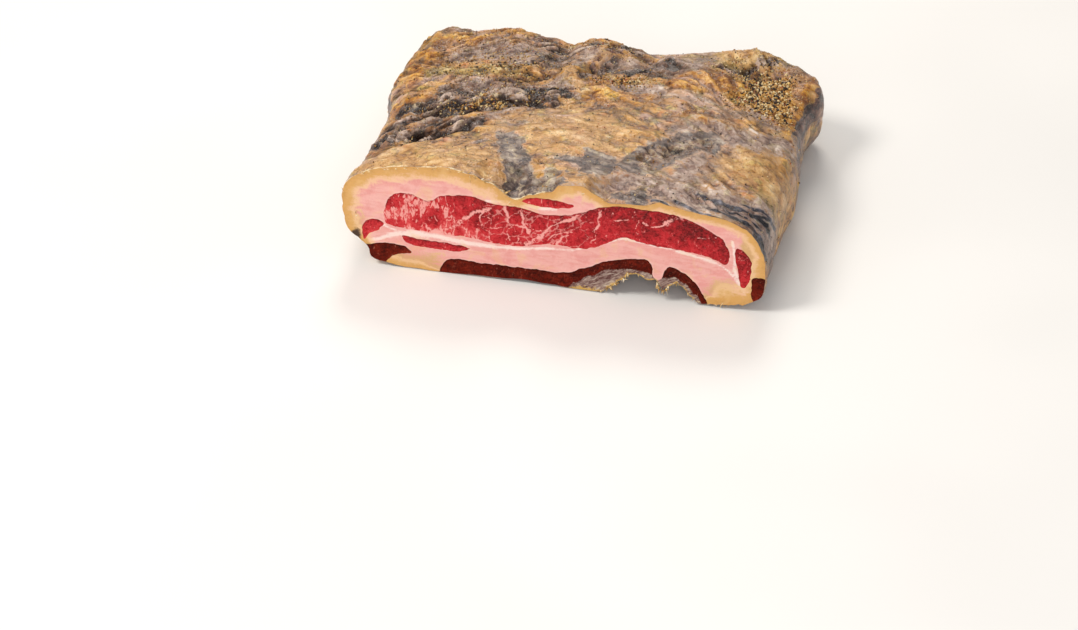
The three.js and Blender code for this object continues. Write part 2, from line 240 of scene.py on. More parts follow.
# Marbling of the main lean layer: it fades out towards MARBLED_END along x, over MARBLED_RUN, and
# that border leans by MARBLED_SLANT for each mm above or below MARBLED_LEVEL
MARBLED_END = -34.0
MARBLED_RUN = 16.0
MARBLED_SLANT = 0.9
MARBLED_LEVEL = 32.0

# Patches of the skin seen from above. A band is (path, half width, strength), and a spot is
# (middle, reach, turn in degrees, strength).
BANDS = {
    "membrane": (
        (((-114, -52), (-84, -46), (-49, -35)), 5.2, 1.0),
        (((-104, -36), (-76, -31), (-46, -30)), 4.2, 0.8),
        (((-92, -23), (-52, -13), (-20, -4)), 5.6, 1.2),
        (((-74, -6), (-40, 7), (-12, 5)), 5.4, 1.1),
        (((-44, 34), (-28, 52), (-14, 61)), 4.0, 0.8),
        (((-8, 22), (-6, 39), (4, 51)), 2.2, 1.1),
        (((0, 40), (12, 44), (30, 38)), 4.0, 0.75),
        (((58, 57), (72, 59), (84, 69)), 1.8, 1.1),
        (((38, -56), (47, -38), (60, -28)), 3.6, 0.9),
    ),
    "plum": (
        (((118, 68), (121, 48), (115, 22)), 4.6, 1.05),
    ),
    "stripe": (
        (((62, -77), (95, -76), (127, -74)), 1.7, 1.1),
        (((69, -84), (98, -88), (125, -87)), 1.5, 1.1),
        (((78, -80), (100, -83), (120, -81)), 1.0, 0.95),
        (((56, -85), (70, -91), (88, -95)), 1.1, 0.9),
        (((98, -76), (116, -72), (136, -52)), 1.5, 1.0),
        (((84, -70), (104, -72), (122, -64)), 1.0, 0.85),
        (((104, -90), (118, -92), (130, -86)), 2.2, 1.1),
        (((46, -88), (54, -90), (62, -96)), 1.2, 0.85),
    ),
    "mould": (
        (((-28, -51), (-23, -68), (-11, -94)), 6.2, 1.15),
        (((36, -60), (46, -38), (60, -24)), 8.0, 1.2),
    ),
    "haze": (
        (((34, -82), (74, -76), (126, -76)), 12, 1.15),
        (((-60, -40), (-44, -28), (-28, -10)), 5, 0.8),
        (((54, -16), (76, -20), (106, -4)), 9, 1.0),
        (((-74, 46), (-58, 55), (-36, 48)), 7.5, 1.0),
        (((-40, 40), (-24, 46), (-20, 58)), 8, 0.85),
        (((2, 46), (20, 47), (44, 52)), 8, 0.9),
        (((10, 20), (20, 21), (30, 18)), 4.5, 1.0),
        (((58, -24), (66, -40), (58, -60)), 7, 0.95),
        (((-66, 4), (-42, 16), (-18, 13)), 6, 0.85),
        (((34, 14), (56, 18), (74, 8)), 6, 0.6),
        (((88, -66), (104, -68), (124, -70)), 5, 0.9),
    ),
    "amber": (
        (((37, 46), (54, 45), (68, 35)), 3.6, 1.45),
        (((49, -1), (61, -9), (72, -7)), 2.6, 1.2),
        (((90, 20), (104, 13), (113, 20)), 3.5, 1.0),
        (((111, 74), (108, 52), (110, 26)), 2.4, 1.25),
        (((-116, 27), (-99, 32), (-83, 38)), 2.8, 1.2),
        (((-114, -12), (-98, -18), (-84, -18)), 3.0, 1.0),
        (((-96, -9), (-84, -12), (-68, -11)), 2.6, 0.9),
        (((-30, 4), (-4, 10), (40, 14)), 6, 0.75),
        (((134, -10), (138, -24), (134, -50)), 5, 1.0),
        (((-84, -70), (-66, -68), (-50, -84)), 7, 0.75),
        (((120, -96), (128, -90), (134, -84)), 3.5, 1.0),
    ),
    "olive": (
        (((45, 65), (63, 67), (87, 74)), 6.5, 1.15),
        (((-86, 22), (-66, 23), (-50, 29)), 6, 0.85),
        (((97, -45), (109, -54), (119, -64)), 3.2, 0.9),
    ),
}
SPOTS = {
    "membrane": (
        ((28, 53), (7, 5), -20, 1.15),
        ((12, 40), (10, 4), 0, 0.7),
        ((-36, 73), (6, 4), 0, 0.8),
        ((78, 33), (6, 5), 0, 0.6),
        ((-30, 62), (7, 6), 0, 0.95),
        ((4, 62), (9, 6), 20, 1.0),
    ),
    "mould": (
        ((-10, -86), (12, 8), 0, 1.15),
        ((15, -63), (8.5, 12), 10, 1.15),
        ((2, -63), (9, 4), 10, 1.0),
        ((41, -88), (12, 6), 0, 0.95),
    ),
    "haze": (
        ((-14, 52), (6, 14), 0, 0.9),
        ((92, 66), (9, 6), 0, 0.6),
        ((-86, 74), (16, 7), 0, 0.6),
        ((-30, -34), (12, 8), 30, 0.5),
        ((46, 74), (8, 6), 0, 0.6),
        ((10, -92), (12, 5), 0, 0.7),
        ((82, 14), (15, 7), 0, 0.75),
        ((-52, 34), (12, 5), 10, 0.7),
    ),
    "amber": (
        ((-99, 15), (6, 8), 0, 1.25),
        ((-94, 25), (8, 6), 0, 1.15),
        ((-94, 54), (7, 7), 0, 0.9),
        ((-76, 44), (5, 3), 0, 1.2),
        ((-97, 41), (6, 3), 0, 1.2),
        ((-66, -20), (4, 2.5), 0, 1.1),
        ((-48, -7), (6, 2.5), 20, 1.1),
        ((111, -17), (5, 5), 0, 1.1),
        ((44, 29), (12, 3.5), 0, 1.3),
        ((-20, 21), (5, 5), 0, 1.15),
        ((-17, -2), (5, 6), 0, 1.0),
        ((4, 20), (6, 7), 0, 1.0),
        ((-6, 54), (7, 4), 0, 1.0),
        ((-6, 71), (8, 5), 0, 0.9),
        ((-58, 75), (10, 5), 0, 0.85),
        ((-78, 62), (10, 4), 0, 0.9),
        ((31, -38), (11, 13), 0, 1.1),
        ((36, -80), (8, 4), 0, 0.9),
        ((-30, -16), (9, 5), 30, 0.75),
        ((90, 46), (12, 14), 0, 0.7),
    ),
    "plum": (
        ((2, 57), (9, 5), 10, 0.85),
        ((-8, 45), (4, 7), 0, 0.75),
    ),
    "pale": (
        ((-62, -84), (30, 14), 8, 1.15),
        ((-13, 19), (4.5, 7), 30, 1.25),
        ((90, -33), (24, 10), 33, 0.85),
        ((66, 72), (18, 7), 0, 0.7),
        ((-4, -36), (34, 20), 10, 0.75),
        ((14, -86), (26, 8), 0, 0.85),
        ((-14, 0), (7, 6), 0, 0.8),
        ((66, -92), (12, 4), -10, 0.6),
        ((118, -40), (14, 14), 0, 0.85),
    ),
    "spice": (
        ((84, 40), (19, 24), 0, 1.05),
        ((86, 30), (18, 10), -10, 1.35),
        ((-50, -10), (34, 6), 20, 0.86),
        ((12, 27), (20, 9), 0, 0.8),
        ((-52, 30), (46, 44), 0, 0.6),
        ((68, 60), (24, 12), 0, 0.6),
        ((-72, -46), (26, 10), 10, 0.5),
        ((0, 60), (26, 16), 0, 0.55),
        ((46, -42), (8, 16), -10, 0.4),
        ((10, -30), (40, 24), 0, 0.25),
        ((36, 8), (34, 14), 0, 0.42),
    ),
}

# Noise that moves the borders of the patches: how far and its size, a finer part of it drawn out
# along x, and the share of it that the stripes feel. STRIPE_END is their strength at both ends.
PATCH_WARP = 4.5
PATCH_WARP_SIZE = 17.0
FINE_WARP = 1.6
FINE_WARP_SIZE = (9.0, 2.6, 9.0)
STRIPE_WARP = 0.25
STRIPE_END = 0.1

# Direction of the wrinkles: arcs that rise towards the middle of the slab and fall again, slanted
# and bent by slow noise
ARC_RISE = 42.0
ARC_MIDDLE = 6.0
ARC_REACH = 100.0
ARC_FALL = 30.0
ARC_LIMIT = 0.95
FOLD_SLANT = 0.3
FOLD_WARP = 6.0
FOLD_WARP_SIZE = 30.0
FOLD_DEPTH_SHARE = 3.0

# The skin laid flat: the share of the way down a side that counts, and where the top turns over
# into the sides and into the back
SIDE_SHARE = 0.8
SIDE_EDGE = (84.0, 98.0)
BACK_EDGE = (70.0, 84.0)

# Stage: the floor's width in metres, and the camera's place in mm, its direction and its focal
# length in pixels, as the photograph's perspective gives them
FLOOR_SIZE = 6.0
CAMERA_AT = (247.9, -1179.8, 736.0)
CAMERA_LOOKS = (-0.18735, 0.80759, -0.55919)
PHOTO_FOCAL_LENGTH = 2800.0
PHOTO_WIDTH = 1078.0
SENSOR_WIDTH = 36.0


def smooth(value, low, high):
    """t * t * (3 - 2 t), with t the share of the way from low to high, held between 0 and 1."""
    share = np.clip((value - low) / (high - low), 0.0, 1.0)
    return share * share * (3.0 - 2.0 * share)


def lerp(start, end, share):
    """start + (end - start) * share."""
    return start + (end - start) * share


def plateau(value, foot, full, fading, end):
    """0 up to foot, 1 from full to fading and 0 again from end on, eased with smooth."""
    return smooth(value, foot, full) * (1 - smooth(value, fading, end))


def bell(value, middle, reach):
    """e^-u^2, with u the distance from the middle in reaches."""
    return np.exp(-(((value - middle) / reach) ** 2))


def mound(x, y, at, reach, rise):
    """A rise or dip: its height times e^-(u^2 + v^2), u and v in reaches from its middle."""
    return rise * np.exp(-(((x - at[0]) / reach[0]) ** 2 + ((y - at[1]) / reach[1]) ** 2))


def nearness(share):
    """1 in the middle, half at a share of 1, which is the edge, and 0 at twice that."""
    return np.clip(1 - 0.5 * share, 0, 1)


def knot_height(knots, x):
    """Height between knots (x, z), eased with smooth from each knot to the next."""
    xs, zs = np.array(knots, float).T
    i = np.clip(np.searchsorted(xs, x) - 1, 0, len(xs) - 2)
    return lerp(zs[i], zs[i + 1], smooth(x, xs[i], xs[i + 1]))


LATTICE_STEPS = (127.1, 311.7)
LATTICE_GAIN = 43758.5453


def lattice(i, j):
    """A number from -1 to 1 for each lattice corner: the fraction of a long sine wave."""
    wave = np.sin(i * LATTICE_STEPS[0] + j * LATTICE_STEPS[1]) * LATTICE_GAIN
    return (wave - np.floor(wave)) * 2.0 - 1.0


def lumps(x, y, size):
    """Value noise of the CAD form: lattice values eased across squares of the given size."""
    u, v = np.broadcast_arrays(x / size, y / size)
    i, j = np.floor(u), np.floor(v)
    a, b = smooth(u - i, 0, 1), smooth(v - j, 0, 1)
    near = lerp(lattice(i, j), lattice(i + 1, j), a)
    far = lerp(lattice(i, j + 1), lattice(i + 1, j + 1), a)
    return lerp(near, far, b)


EDGE_DIRECTIONS = np.array(
    [(a, b, 0) for a in (-1, 1) for b in (-1, 1)]
    + [(a, 0, b) for a in (-1, 1) for b in (-1, 1)]
    + [(0, a, b) for a in (-1, 1) for b in (-1, 1)],
    float,
)
HASH_STEPS = np.array((374761393, 668265263, 1440662683), np.uint64)
HASH_SEED = 1013904223
HASH_MIX = np.uint64(1274126177)
SEED_SHIFT = 17.31
NOISE_GAIN = 1.25


def noise(points, size, seed):
    """Gradient noise, about -1 to 1. Each lattice corner has one of 12 directions, picked by a
    hash of its whole coordinates, and the dot products with them are blended by the fifth-degree
    ease. size is the lattice step in mm, one number or one for each axis."""
    scaled = points / np.asarray(size, float) + seed * SEED_SHIFT
    cell = np.floor(scaled)
    inside = scaled - cell
    ease = inside**3 * (inside * (inside * 6 - 15) + 10)
    base = cell.astype(np.int64).astype(np.uint64)
    total = 0.0
    for corner in range(8):
        step = np.array([corner & 1, corner >> 1 & 1, corner >> 2 & 1])
        where = base + step.astype(np.uint64)
        mixed = (
            where[..., 0] * HASH_STEPS[0]
            + where[..., 1] * HASH_STEPS[1]
            + where[..., 2] * HASH_STEPS[2]
            + np.uint64(seed * HASH_SEED)
        )
        mixed = (mixed ^ (mixed >> np.uint64(13))) * HASH_MIX
        mixed ^= mixed >> np.uint64(16)
        picked = (mixed % np.uint64(len(EDGE_DIRECTIONS))).astype(int)
        pull = np.einsum("...k,...k->...", EDGE_DIRECTIONS[picked], inside - step)
        share = np.where(step == 1, ease, 1 - ease).prod(axis=-1)
        total = total + pull * share
    return total * NOISE_GAIN


def clouds(points, size, seed, octaves=3):
    """Sum of noise at size, size/2, size/4 ..., each half as strong as the one before."""
    return sum(noise(points, np.asarray(size) / 2**k, seed + k) / 2**k for k in range(octaves))


def bent_path(path, share):
    """Point of the quadratic curve through three control points, at share of its length."""
    start, via, end = (np.array(point, float) for point in path)
    share = np.asarray(share)[..., None]
    return (1 - share) ** 2 * start + 2 * share * (1 - share) * via + share**2 * end


PATH_STEPS = 16


def beside(path, x, y):
    """Distance to a bent path, the side (1 on its left), and the share of its length: the nearest
    of PATH_STEPS straight steps."""
    corners = bent_path(path, np.linspace(0, 1, PATH_STEPS + 1))
    best = np.full(np.shape(x), np.inf)
    side = np.ones(np.shape(x))
    along = np.zeros(np.shape(x))
    for i, (start, end) in enumerate(zip(corners[:-1], corners[1:])):
        dx, dy = end - start
        t = np.clip(((x - start[0]) * dx + (y - start[1]) * dy) / (dx * dx + dy * dy), 0, 1)
        px, py = x - start[0] - t * dx, y - start[1] - t * dy
        distance = np.hypot(px, py)
        nearer = distance < best
        best = np.where(nearer, distance, best)
        side = np.where(nearer, np.where(dx * py - dy * px >= 0, 1, -1), side)
        along = np.where(nearer, (i + t) / PATH_STEPS, along)
    return best, side, along


END_SHARE = 0.18


def end_fade(along):
    """0 at both ends of a path, 1 between them."""
    return plateau(along, 0, END_SHARE, 1 - END_SHARE, 1)


def furrow_depth(x, y):
    """Depth of the valleys: each a bell across its path, faded at its ends."""
    total = np.zeros(np.shape(x))
    for path, depth, width in FURROWS:
        distance, _, along = beside(path, x, y)
        total += depth * end_fade(along) * bell(distance, 0, width)
    return total


STEP_FRONT = 2.5


def fold_relief(x, y):
    """Relief of the folds: minus the valleys, minus the steps, plus the mounds."""
    height = -furrow_depth(x, y)
    for path, drop, run in STEPS:
        distance, side, along = beside(path, x, y)
        shape = plateau(side * distance, -STEP_FRONT, STEP_FRONT, STEP_FRONT, run)
        height -= drop * end_fade(along) * shape
    for spot in MOUNDS:
        height += mound(x, y, *spot)
    return height


def plain_top(x, y):
    """Thickness without folds, blended between four corner values."""
    across = smooth(x, LEFT_EDGE, RIGHT_EDGE)
    along = np.clip((y - CUT_Y) / SLAB_DEPTH, 0, 1)
    return lerp(lerp(*FRONT_THICKNESS, across), lerp(*BACK_THICKNESS, across), along)


LUMP_SIZE = 21.0
LUMP_HEIGHT = 1.3


def top_height(x, y):
    """Plain thickness plus folds and lumps, eased into the rim's heights near the cut."""
    near_cut = 1 - smooth(y, CUT_Y, CUT_Y + RIM_RUN)
    skin = fold_relief(x, y) + LUMP_HEIGHT * lumps(x, y, LUMP_SIZE)
    return lerp(plain_top(x, y) + skin, knot_height(RIM, x), near_cut)


def hollow(x, y):
    """Height of the hollow under the slab: torn knots at the cut, a round arch behind them."""
    back = y - CUT_Y
    arch = HOLLOW_HEIGHT * np.maximum(0, 1 - ((x - HOLLOW_CENTRE) / HOLLOW_HALF_WIDTH) ** 2)
    torn = knot_height(HOLLOW, x)
    return lerp(torn, arch, smooth(back, 0, TORN_LENGTH)) * (1 - smooth(back, 0, HOLLOW_LENGTH))


ARCH_AT = -12.0
ARCH_REACH = 26.0
ARCH_HEIGHT = 1.4
ARCH_RUN = 50.0


def bottom_height(x, y):
    """Height of the underside: the hollow plus a low bell that lifts the middle at the cut."""
    lifted = ARCH_HEIGHT * bell(x, ARCH_AT, ARCH_REACH)
    return hollow(x, y) + lifted * (1 - smooth(y, CUT_Y, CUT_Y + ARCH_RUN))


LEFT_STEP = (-8.0, 18.0)
RIGHT_STEP = (44.0, 66.0)
SWELL = {"at": -18.0, "reach": 26.0, "height": 2.5}
TRIM = {"level": -0.68, "reach": 0.22, "depth": 10.0}
RIGHT_LEAN = 3.0
WAVE = {"height": 1.2, "size": 18.0, "levels": 12.0, "row": 40.0}


def edges(level, y):
    """Left and right edge of the section at a level from -1, the foot, to 1, the top: straight
    sides that step apart, swell, are trimmed at the left foot, lean and wave."""
    back = y - (CUT_Y + SLAB_DEPTH - BACK_BULGE - CORNER_LENGTH)
    inset = CORNER_INSET * np.clip(back / CORNER_LENGTH, 0, 1) ** 2
    swollen = SWELL["height"] * bell(y, SWELL["at"], SWELL["reach"])
    trimmed = TRIM["depth"] * bell(level, TRIM["level"], TRIM["reach"])
    left_wave, right_wave = (
        WAVE["height"] * lumps(y, level * WAVE["levels"] + row, WAVE["size"])
        for row in (WAVE["row"], -WAVE["row"])
    )
    left = LEFT_EDGE - LEFT_SPREAD * smooth(y, *LEFT_STEP)
    right = RIGHT_EDGE + RIGHT_SPREAD * smooth(y, *RIGHT_STEP) + swollen
    lean = RIGHT_LEAN * np.maximum(0, level)
    return left + inset + trimmed + left_wave, right - inset - lean + right_wave


def rest(value, power):
    """The other coordinate of a superellipse: (1 - |value|^power)^(1/power)."""
    return np.maximum(0, 1 - np.abs(value) ** power) ** (1 / power)


HOLLOW_START = 0.2
HOLLOW_END = 0.72


def section_columns():
    """Points (across, level) round the section, clockwise seen from the cut: a superellipse that
    is rounder above than below."""
    upper, lower = 0.5 ** (1 / UPPER_POWER), 0.5 ** (1 / LOWER_POWER)
    stretches = (
        (-upper, upper, TOP_COLUMNS, lambda v: (v, rest(v, UPPER_POWER))),
        (upper, 0, SIDE_COLUMNS, lambda v: (rest(v, UPPER_POWER), v)),
        (0, -lower, SIDE_COLUMNS, lambda v: (rest(v, LOWER_POWER), v)),
        (lower, HOLLOW_END, FOOT_COLUMNS, lambda v: (v, -rest(v, LOWER_POWER))),
        (HOLLOW_END, HOLLOW_START, HOLLOW_COLUMNS, lambda v: (v, -rest(v, LOWER_POWER))),
        (HOLLOW_START, -lower, FLAT_COLUMNS, lambda v: (v, -rest(v, LOWER_POWER))),
        (-lower, 0, SIDE_COLUMNS, lambda v: (-rest(v, LOWER_POWER), v)),
        (0, upper, SIDE_COLUMNS, lambda v: (-rest(v, UPPER_POWER), v)),
    )
    parts = [place(lerp(a, b, np.arange(n) / n)) for a, b, n, place in stretches]
    return np.concatenate([np.stack(part, axis=1) for part in parts]).T


END_CORNER = 1.5
END_HOLLOW = {"at": 0.22, "reach": 0.22, "depth": 3.5}
SET_BACK = {"from": -0.6, "to": -0.2, "depth": 4.0}


def back_start(across):
    """Where the rounded end starts: nearer at the corners, in a dip, and left of the middle."""
    dip = END_HOLLOW["depth"] * bell(across, END_HOLLOW["at"], END_HOLLOW["reach"])
    back = SET_BACK["depth"] * smooth(across, SET_BACK["from"], SET_BACK["to"])
    return CUT_Y + SLAB_DEPTH - BACK_BULGE - END_CORNER * across**4 - dip - back


def body_rings(across, level, travel):
    """Rings of the slab's body: y runs from just before the cut to back_start, x between the
    edges by across, and z between underside and top by level."""
    y = lerp(CUT_Y - OVERSHOOT, back_start(across), travel)
    left, right = edges(level, y)
    x = lerp(left, right, (1 + across) / 2)
    reach = np.maximum(y, CUT_Y)
    z = lerp(bottom_height(x, reach), top_height(x, reach), (1 + level) / 2)
    return np.stack([x, y, z], axis=-1)


END_POWER = 2.3
END_NARROWING = 0.1
MIDDLE_LEVEL = 0.44
LAST_OPENING = 0.006


def end_rings(across, level):
    """Rings of the rounded end. With open = cos(a)^(2/p) and out = sin(a)^(2/p), the section
    closes to its middle height by open and bulges back by out."""
    last = math.acos(LAST_OPENING ** (END_POWER / 2))
    angle = np.linspace(0, last, END_ROWS + 1)[1:, None]
    opening = np.cos(angle) ** (2 / END_POWER)
    out = np.sin(angle) ** (2 / END_POWER)
    x, y, z = np.moveaxis(body_rings(across, level, np.ones((1, 1))), -1, 0)
    middle = lerp(bottom_height(x, y), top_height(x, y), MIDDLE_LEVEL)
    parts = (
        x * (1 - END_NARROWING * out * out),
        y + BACK_BULGE * out,
        middle + (z - middle) * opening,
    )
    return np.stack(np.broadcast_arrays(*parts), axis=-1)


def patch(kind, x, y):
    """How far a place on the skin laid flat belongs to a kind of patch: the strength at a patch's
    middle, half of it at its edge and 0 at twice its size. The place is warped by noise first."""
    flat = np.stack([x, y, np.zeros_like(x)], axis=-1)
    share = STRIPE_WARP if kind == "stripe" else 1
    aside = PATCH_WARP * clouds(flat, PATCH_WARP_SIZE, 31, 3)
    ahead = PATCH_WARP * clouds(flat, PATCH_WARP_SIZE, 57, 3)
    ahead += FINE_WARP * noise(flat, FINE_WARP_SIZE, 59)
    x, y = x + share * aside, y + share * ahead
    field = np.zeros(np.shape(x))
    for path, width, strength in BANDS.get(kind, ()):
        distance, _, along = beside(path, x, y)
        held = lerp(STRIPE_END, 1, end_fade(along)) if kind == "stripe" else 1
        field = np.maximum(field, held * strength * nearness(distance / width))
    for at, reach, turn, strength in SPOTS.get(kind, ()):
        c, s = math.cos(math.radians(turn)), math.sin(math.radians(turn))
        u = ((x - at[0]) * c + (y - at[1]) * s) / reach[0]
        v = ((y - at[1]) * c - (x - at[0]) * s) / reach[1]
        field = np.maximum(field, strength * nearness(np.hypot(u, v)))
    return field


def skin_place(points):
    """Where a point lies on the skin laid flat: over the edges of the top, SIDE_SHARE of the way
    down the side is added to x, and at the back to y."""
    x, y, z = np.moveaxis(points, -1, 0)
    down = SIDE_SHARE * np.maximum(0, plain_top(x, y) - z)
    aside = np.sign(x) * smooth(np.abs(x), *SIDE_EDGE) * down
    return x + aside, y + smooth(y, *BACK_EDGE) * down


# Bands of dark lean on the uncut sides, as shares of the height: foot, full, fading and end
SIDE_BANDS = ((0.42, 0.5, 0.72, 0.8), (0.08, 0.13, 0.22, 0.28))
SIDE_BAND_STRENGTH = 0.72
SIDE_BAND_WARP = 0.08
SIDE_BAND_WARP_SIZE = (24, 24, 12)
SIDE_BAND_FACING = (0.75, 0.35)
STRIPED_SHARE = 0.3
STRIPED_X = (60, 90)
STRIPED_Y = (4, -24)


def side_band(points, normals):
    """Dark lean that shows on the uncut sides, as two uneven bands at shares of the height. At the
    front of the right side it gives way to stripes."""
    x, y, z = np.moveaxis(points, -1, 0)
    facing = smooth(np.abs(normals[..., 2]), *SIDE_BAND_FACING)
    share = z / plain_top(x, y) + SIDE_BAND_WARP * clouds(points, SIDE_BAND_WARP_SIZE, 71, 3)
    upper, lower = (plateau(share, *limits) for limits in SIDE_BANDS)
    striped = smooth(x, *STRIPED_X) * smooth(y, *STRIPED_Y)
    shown = SIDE_BAND_STRENGTH * facing * np.maximum(upper, lower)
    return shown * lerp(1, STRIPED_SHARE, striped)


def fold_space(points):
    """Coordinates along and across the wrinkles: on the skin laid flat, the arcs
    y = rise * (1 - u^2) - fall * u^4, with u = (x - middle) / reach and the fall only to the
    right, become straight lines, with a slow warp. Past ARC_LIMIT they run straight down the
    side."""
    x, y = skin_place(points)
    u = np.clip((x - ARC_MIDDLE) / ARC_REACH, -ARC_LIMIT, ARC_LIMIT)
    arc = ARC_RISE * (1 - u * u) - ARC_FALL * np.maximum(0, u) ** 4
    ahead = y - arc + FOLD_WARP * clouds(points, FOLD_WARP_SIZE, 91, 2)
    return np.stack([x + FOLD_SLANT * y, ahead, points[..., 2] / FOLD_DEPTH_SHARE], axis=-1)


BILLOW_MEAN = 0.27


def billow(points, size, seed):
    """|noise| less its mean: round swellings parted by sharp creases."""
    return np.abs(noise(points, size, seed)) - BILLOW_MEAN


# Where the skin has sunk or swollen, as (middle, reach, height)
SETTLED = (
    ((-40, 72), (34, 30), -1.7),
    ((12, 76), (26, 22), -1.3),
    ((54, 78), (24, 22), -1.3),
    ((-92, 70), (16, 22), 1.2),
    ((116, 58), (18, 20), 1.6),
    ((-104, -90), (14, 12), 0.8),
    ((-104, 56), (12, 24), 2.4),
    ((-94, 76), (10, 14), 2.0),
    ((-76, 78), (9, 14), -2.0),
    ((-44, 78), (11, 14), -2.6),
    ((2, 75), (11, 14), -2.8),
    ((79, 74), (7, 14), 2.0),
    ((95, 72), (9, 16), 2.4),
    ((108, 62), (12, 16), 2.2),
    ((-13, 20), (5, 6), 1.4),
    ((28, 54), (7, 5), 1.0),
    ((44, 29), (12, 3), 0.8),
)

TERRACE_LEVELS = 2.0
DROP_START = 0.76
# The foot of each layer, just before its end and just after it, as (share, reach)
TERRACE_FOOT = ((0.97, 0.07), (0.0, 0.05))


def terraces(points, size, seed):
    """Overlapping layers and their lower edges: of noise times levels, the fraction rises slowly to
    1 and drops sharply after DROP_START. Gives the height from 0 to 1, and 1 at the foot."""
    height = noise(points, size, seed) * TERRACE_LEVELS
    share = height - np.floor(height)
    rise = plateau(share, 0, DROP_START, DROP_START, 1)
    foot = sum(bell(share, at, reach) for at, reach in TERRACE_FOOT)
    return np.stack([rise, foot])


def on_skin(pattern, points, side, size, seed):
    """A pattern drawn out along the wrinkles on the top and, where the skin faces sideways, along
    level layers. Its size is (along, across, down)."""
    level = (size[0], size[0], size[1])
    return lerp(pattern(fold_space(points), size, seed), pattern(points, level, seed), side)


def grown(amounts, share):
    """The first amount, and the second times the share added to it."""
    return amounts[0] + amounts[1] * share


# Sizes in mm, or along, across and down, each with its seed: slow lumps with their octaves,
# overlapping layers, swellings, cracks and the areas that have them, crumbs, and what the tones
# follow. Wrinkles at three scales also say what they add to the relief and to the painted shade in
# the creases.
LUMPS = (13, 17, 2)
SHEETS = ((40, 9, 12), 19)
SCALES = ((22, 5, 8), 29)
SWELLINGS = ((11, 8, 8), 9)
CRACKS = ((9, 6, 6), 11)
CRACKED_AREAS = (14, 13)
CRUMBS = (2.2, 15)
STREAKS = ((13, 4.5, 4.5), 33)
WIDE_LAYERS = ((26, 9, 9), 35)
WRINKLES = (
    ((17, 6.5, 9), 3, 2.2, 2.2),
    ((14, 4.5, 6), 5, 1.6, 1.6),
    ((8, 2.8, 4), 7, 0.4, 0.5),
)
# Rises and dips of the skin, in mm
LUMP_RISE = 0.8
CRACK_DEPTH = 0.4
CRUMB_RISE = 0.3
AMBER_RISE = 0.9
PALE_RISE = 0.5
GROOVE_DEPTH = 0.8
MEMBRANE_DEPTH = 0.6
MEAN_RELIEF = 0.7
# The swellings and cracks are shaken aside by noise, and a crack is where noise crosses 0
SHAKE = 3.0
SHAKE_SIZE = 9
SHAKE_SEEDS = (81, 83, 85)
CRACK_WIDTH = 0.06
# Height of the layers that counts as level, the depth of a furrow and of the wrinkles painted as
# full shade in a crease, and the heights of the normal between which the skin turns sideways or
# upwards
LAYER_MIDDLE = 0.6
FULL_FURROW = 3.0
CREASE_RANGE = 0.8
SIDEWAYS = (0.75, 0.3)
SIDE_CALM = 0.4
RIM_CALM_RUN = 10.0
UPWARDS = (0.2, 0.6)
# How strong a patch is where it is first felt, and where it is felt in full
FELT = {
    "amber": (0.4, 0.7), "pale": (0.35, 0.6), "stripe": (0.35, 0.8), "membrane": (0.35, 0.6),
    "spice": (0.2, 0.8), "calm": (0.35, 0.75), "rough": (0.2, 0.7), "loose": (0.15, 0.6),
    "swollen": (0.3, 0.7), "cracked": (0.0, 0.4),
}
CALMED = 0.65
HAZE_LOOSENED = 0.5
STRAY_CRUMBS = 0.15
# What each part has at least, and what the patches or loose skin add
ROUGH = (0.5, 0.9)
SWOLLEN = (0.4, 0.5)
SHEETED = (0.12, 1.4)
SCALED = (0.04, 0.96)
LAYER_RIDGE = (0.1, 0.9)
FOOT_CREASE = (0.1, 0.45)
# The back left of the skin is loose: where that sets in along x and y, and how far it goes
LOOSE_X = (30, -10)
LOOSE_Y = (-20, 20)
LOOSE_SHARE = 0.8
# What each part adds to the painted light on the ridges and to the painted shade in the creases,
# and how far the tones spread
WRINKLE_RIDGE = 0.35
SCALE_RIDGE = 0.35
SHEET_RIDGE = 0.3
SWELLING_RIDGE = 0.4
CRACK_CREASE = 0.5
FURROW_CREASE = 0.5
SCALE_FOOT = 0.6
TONE_SPREAD = 0.3


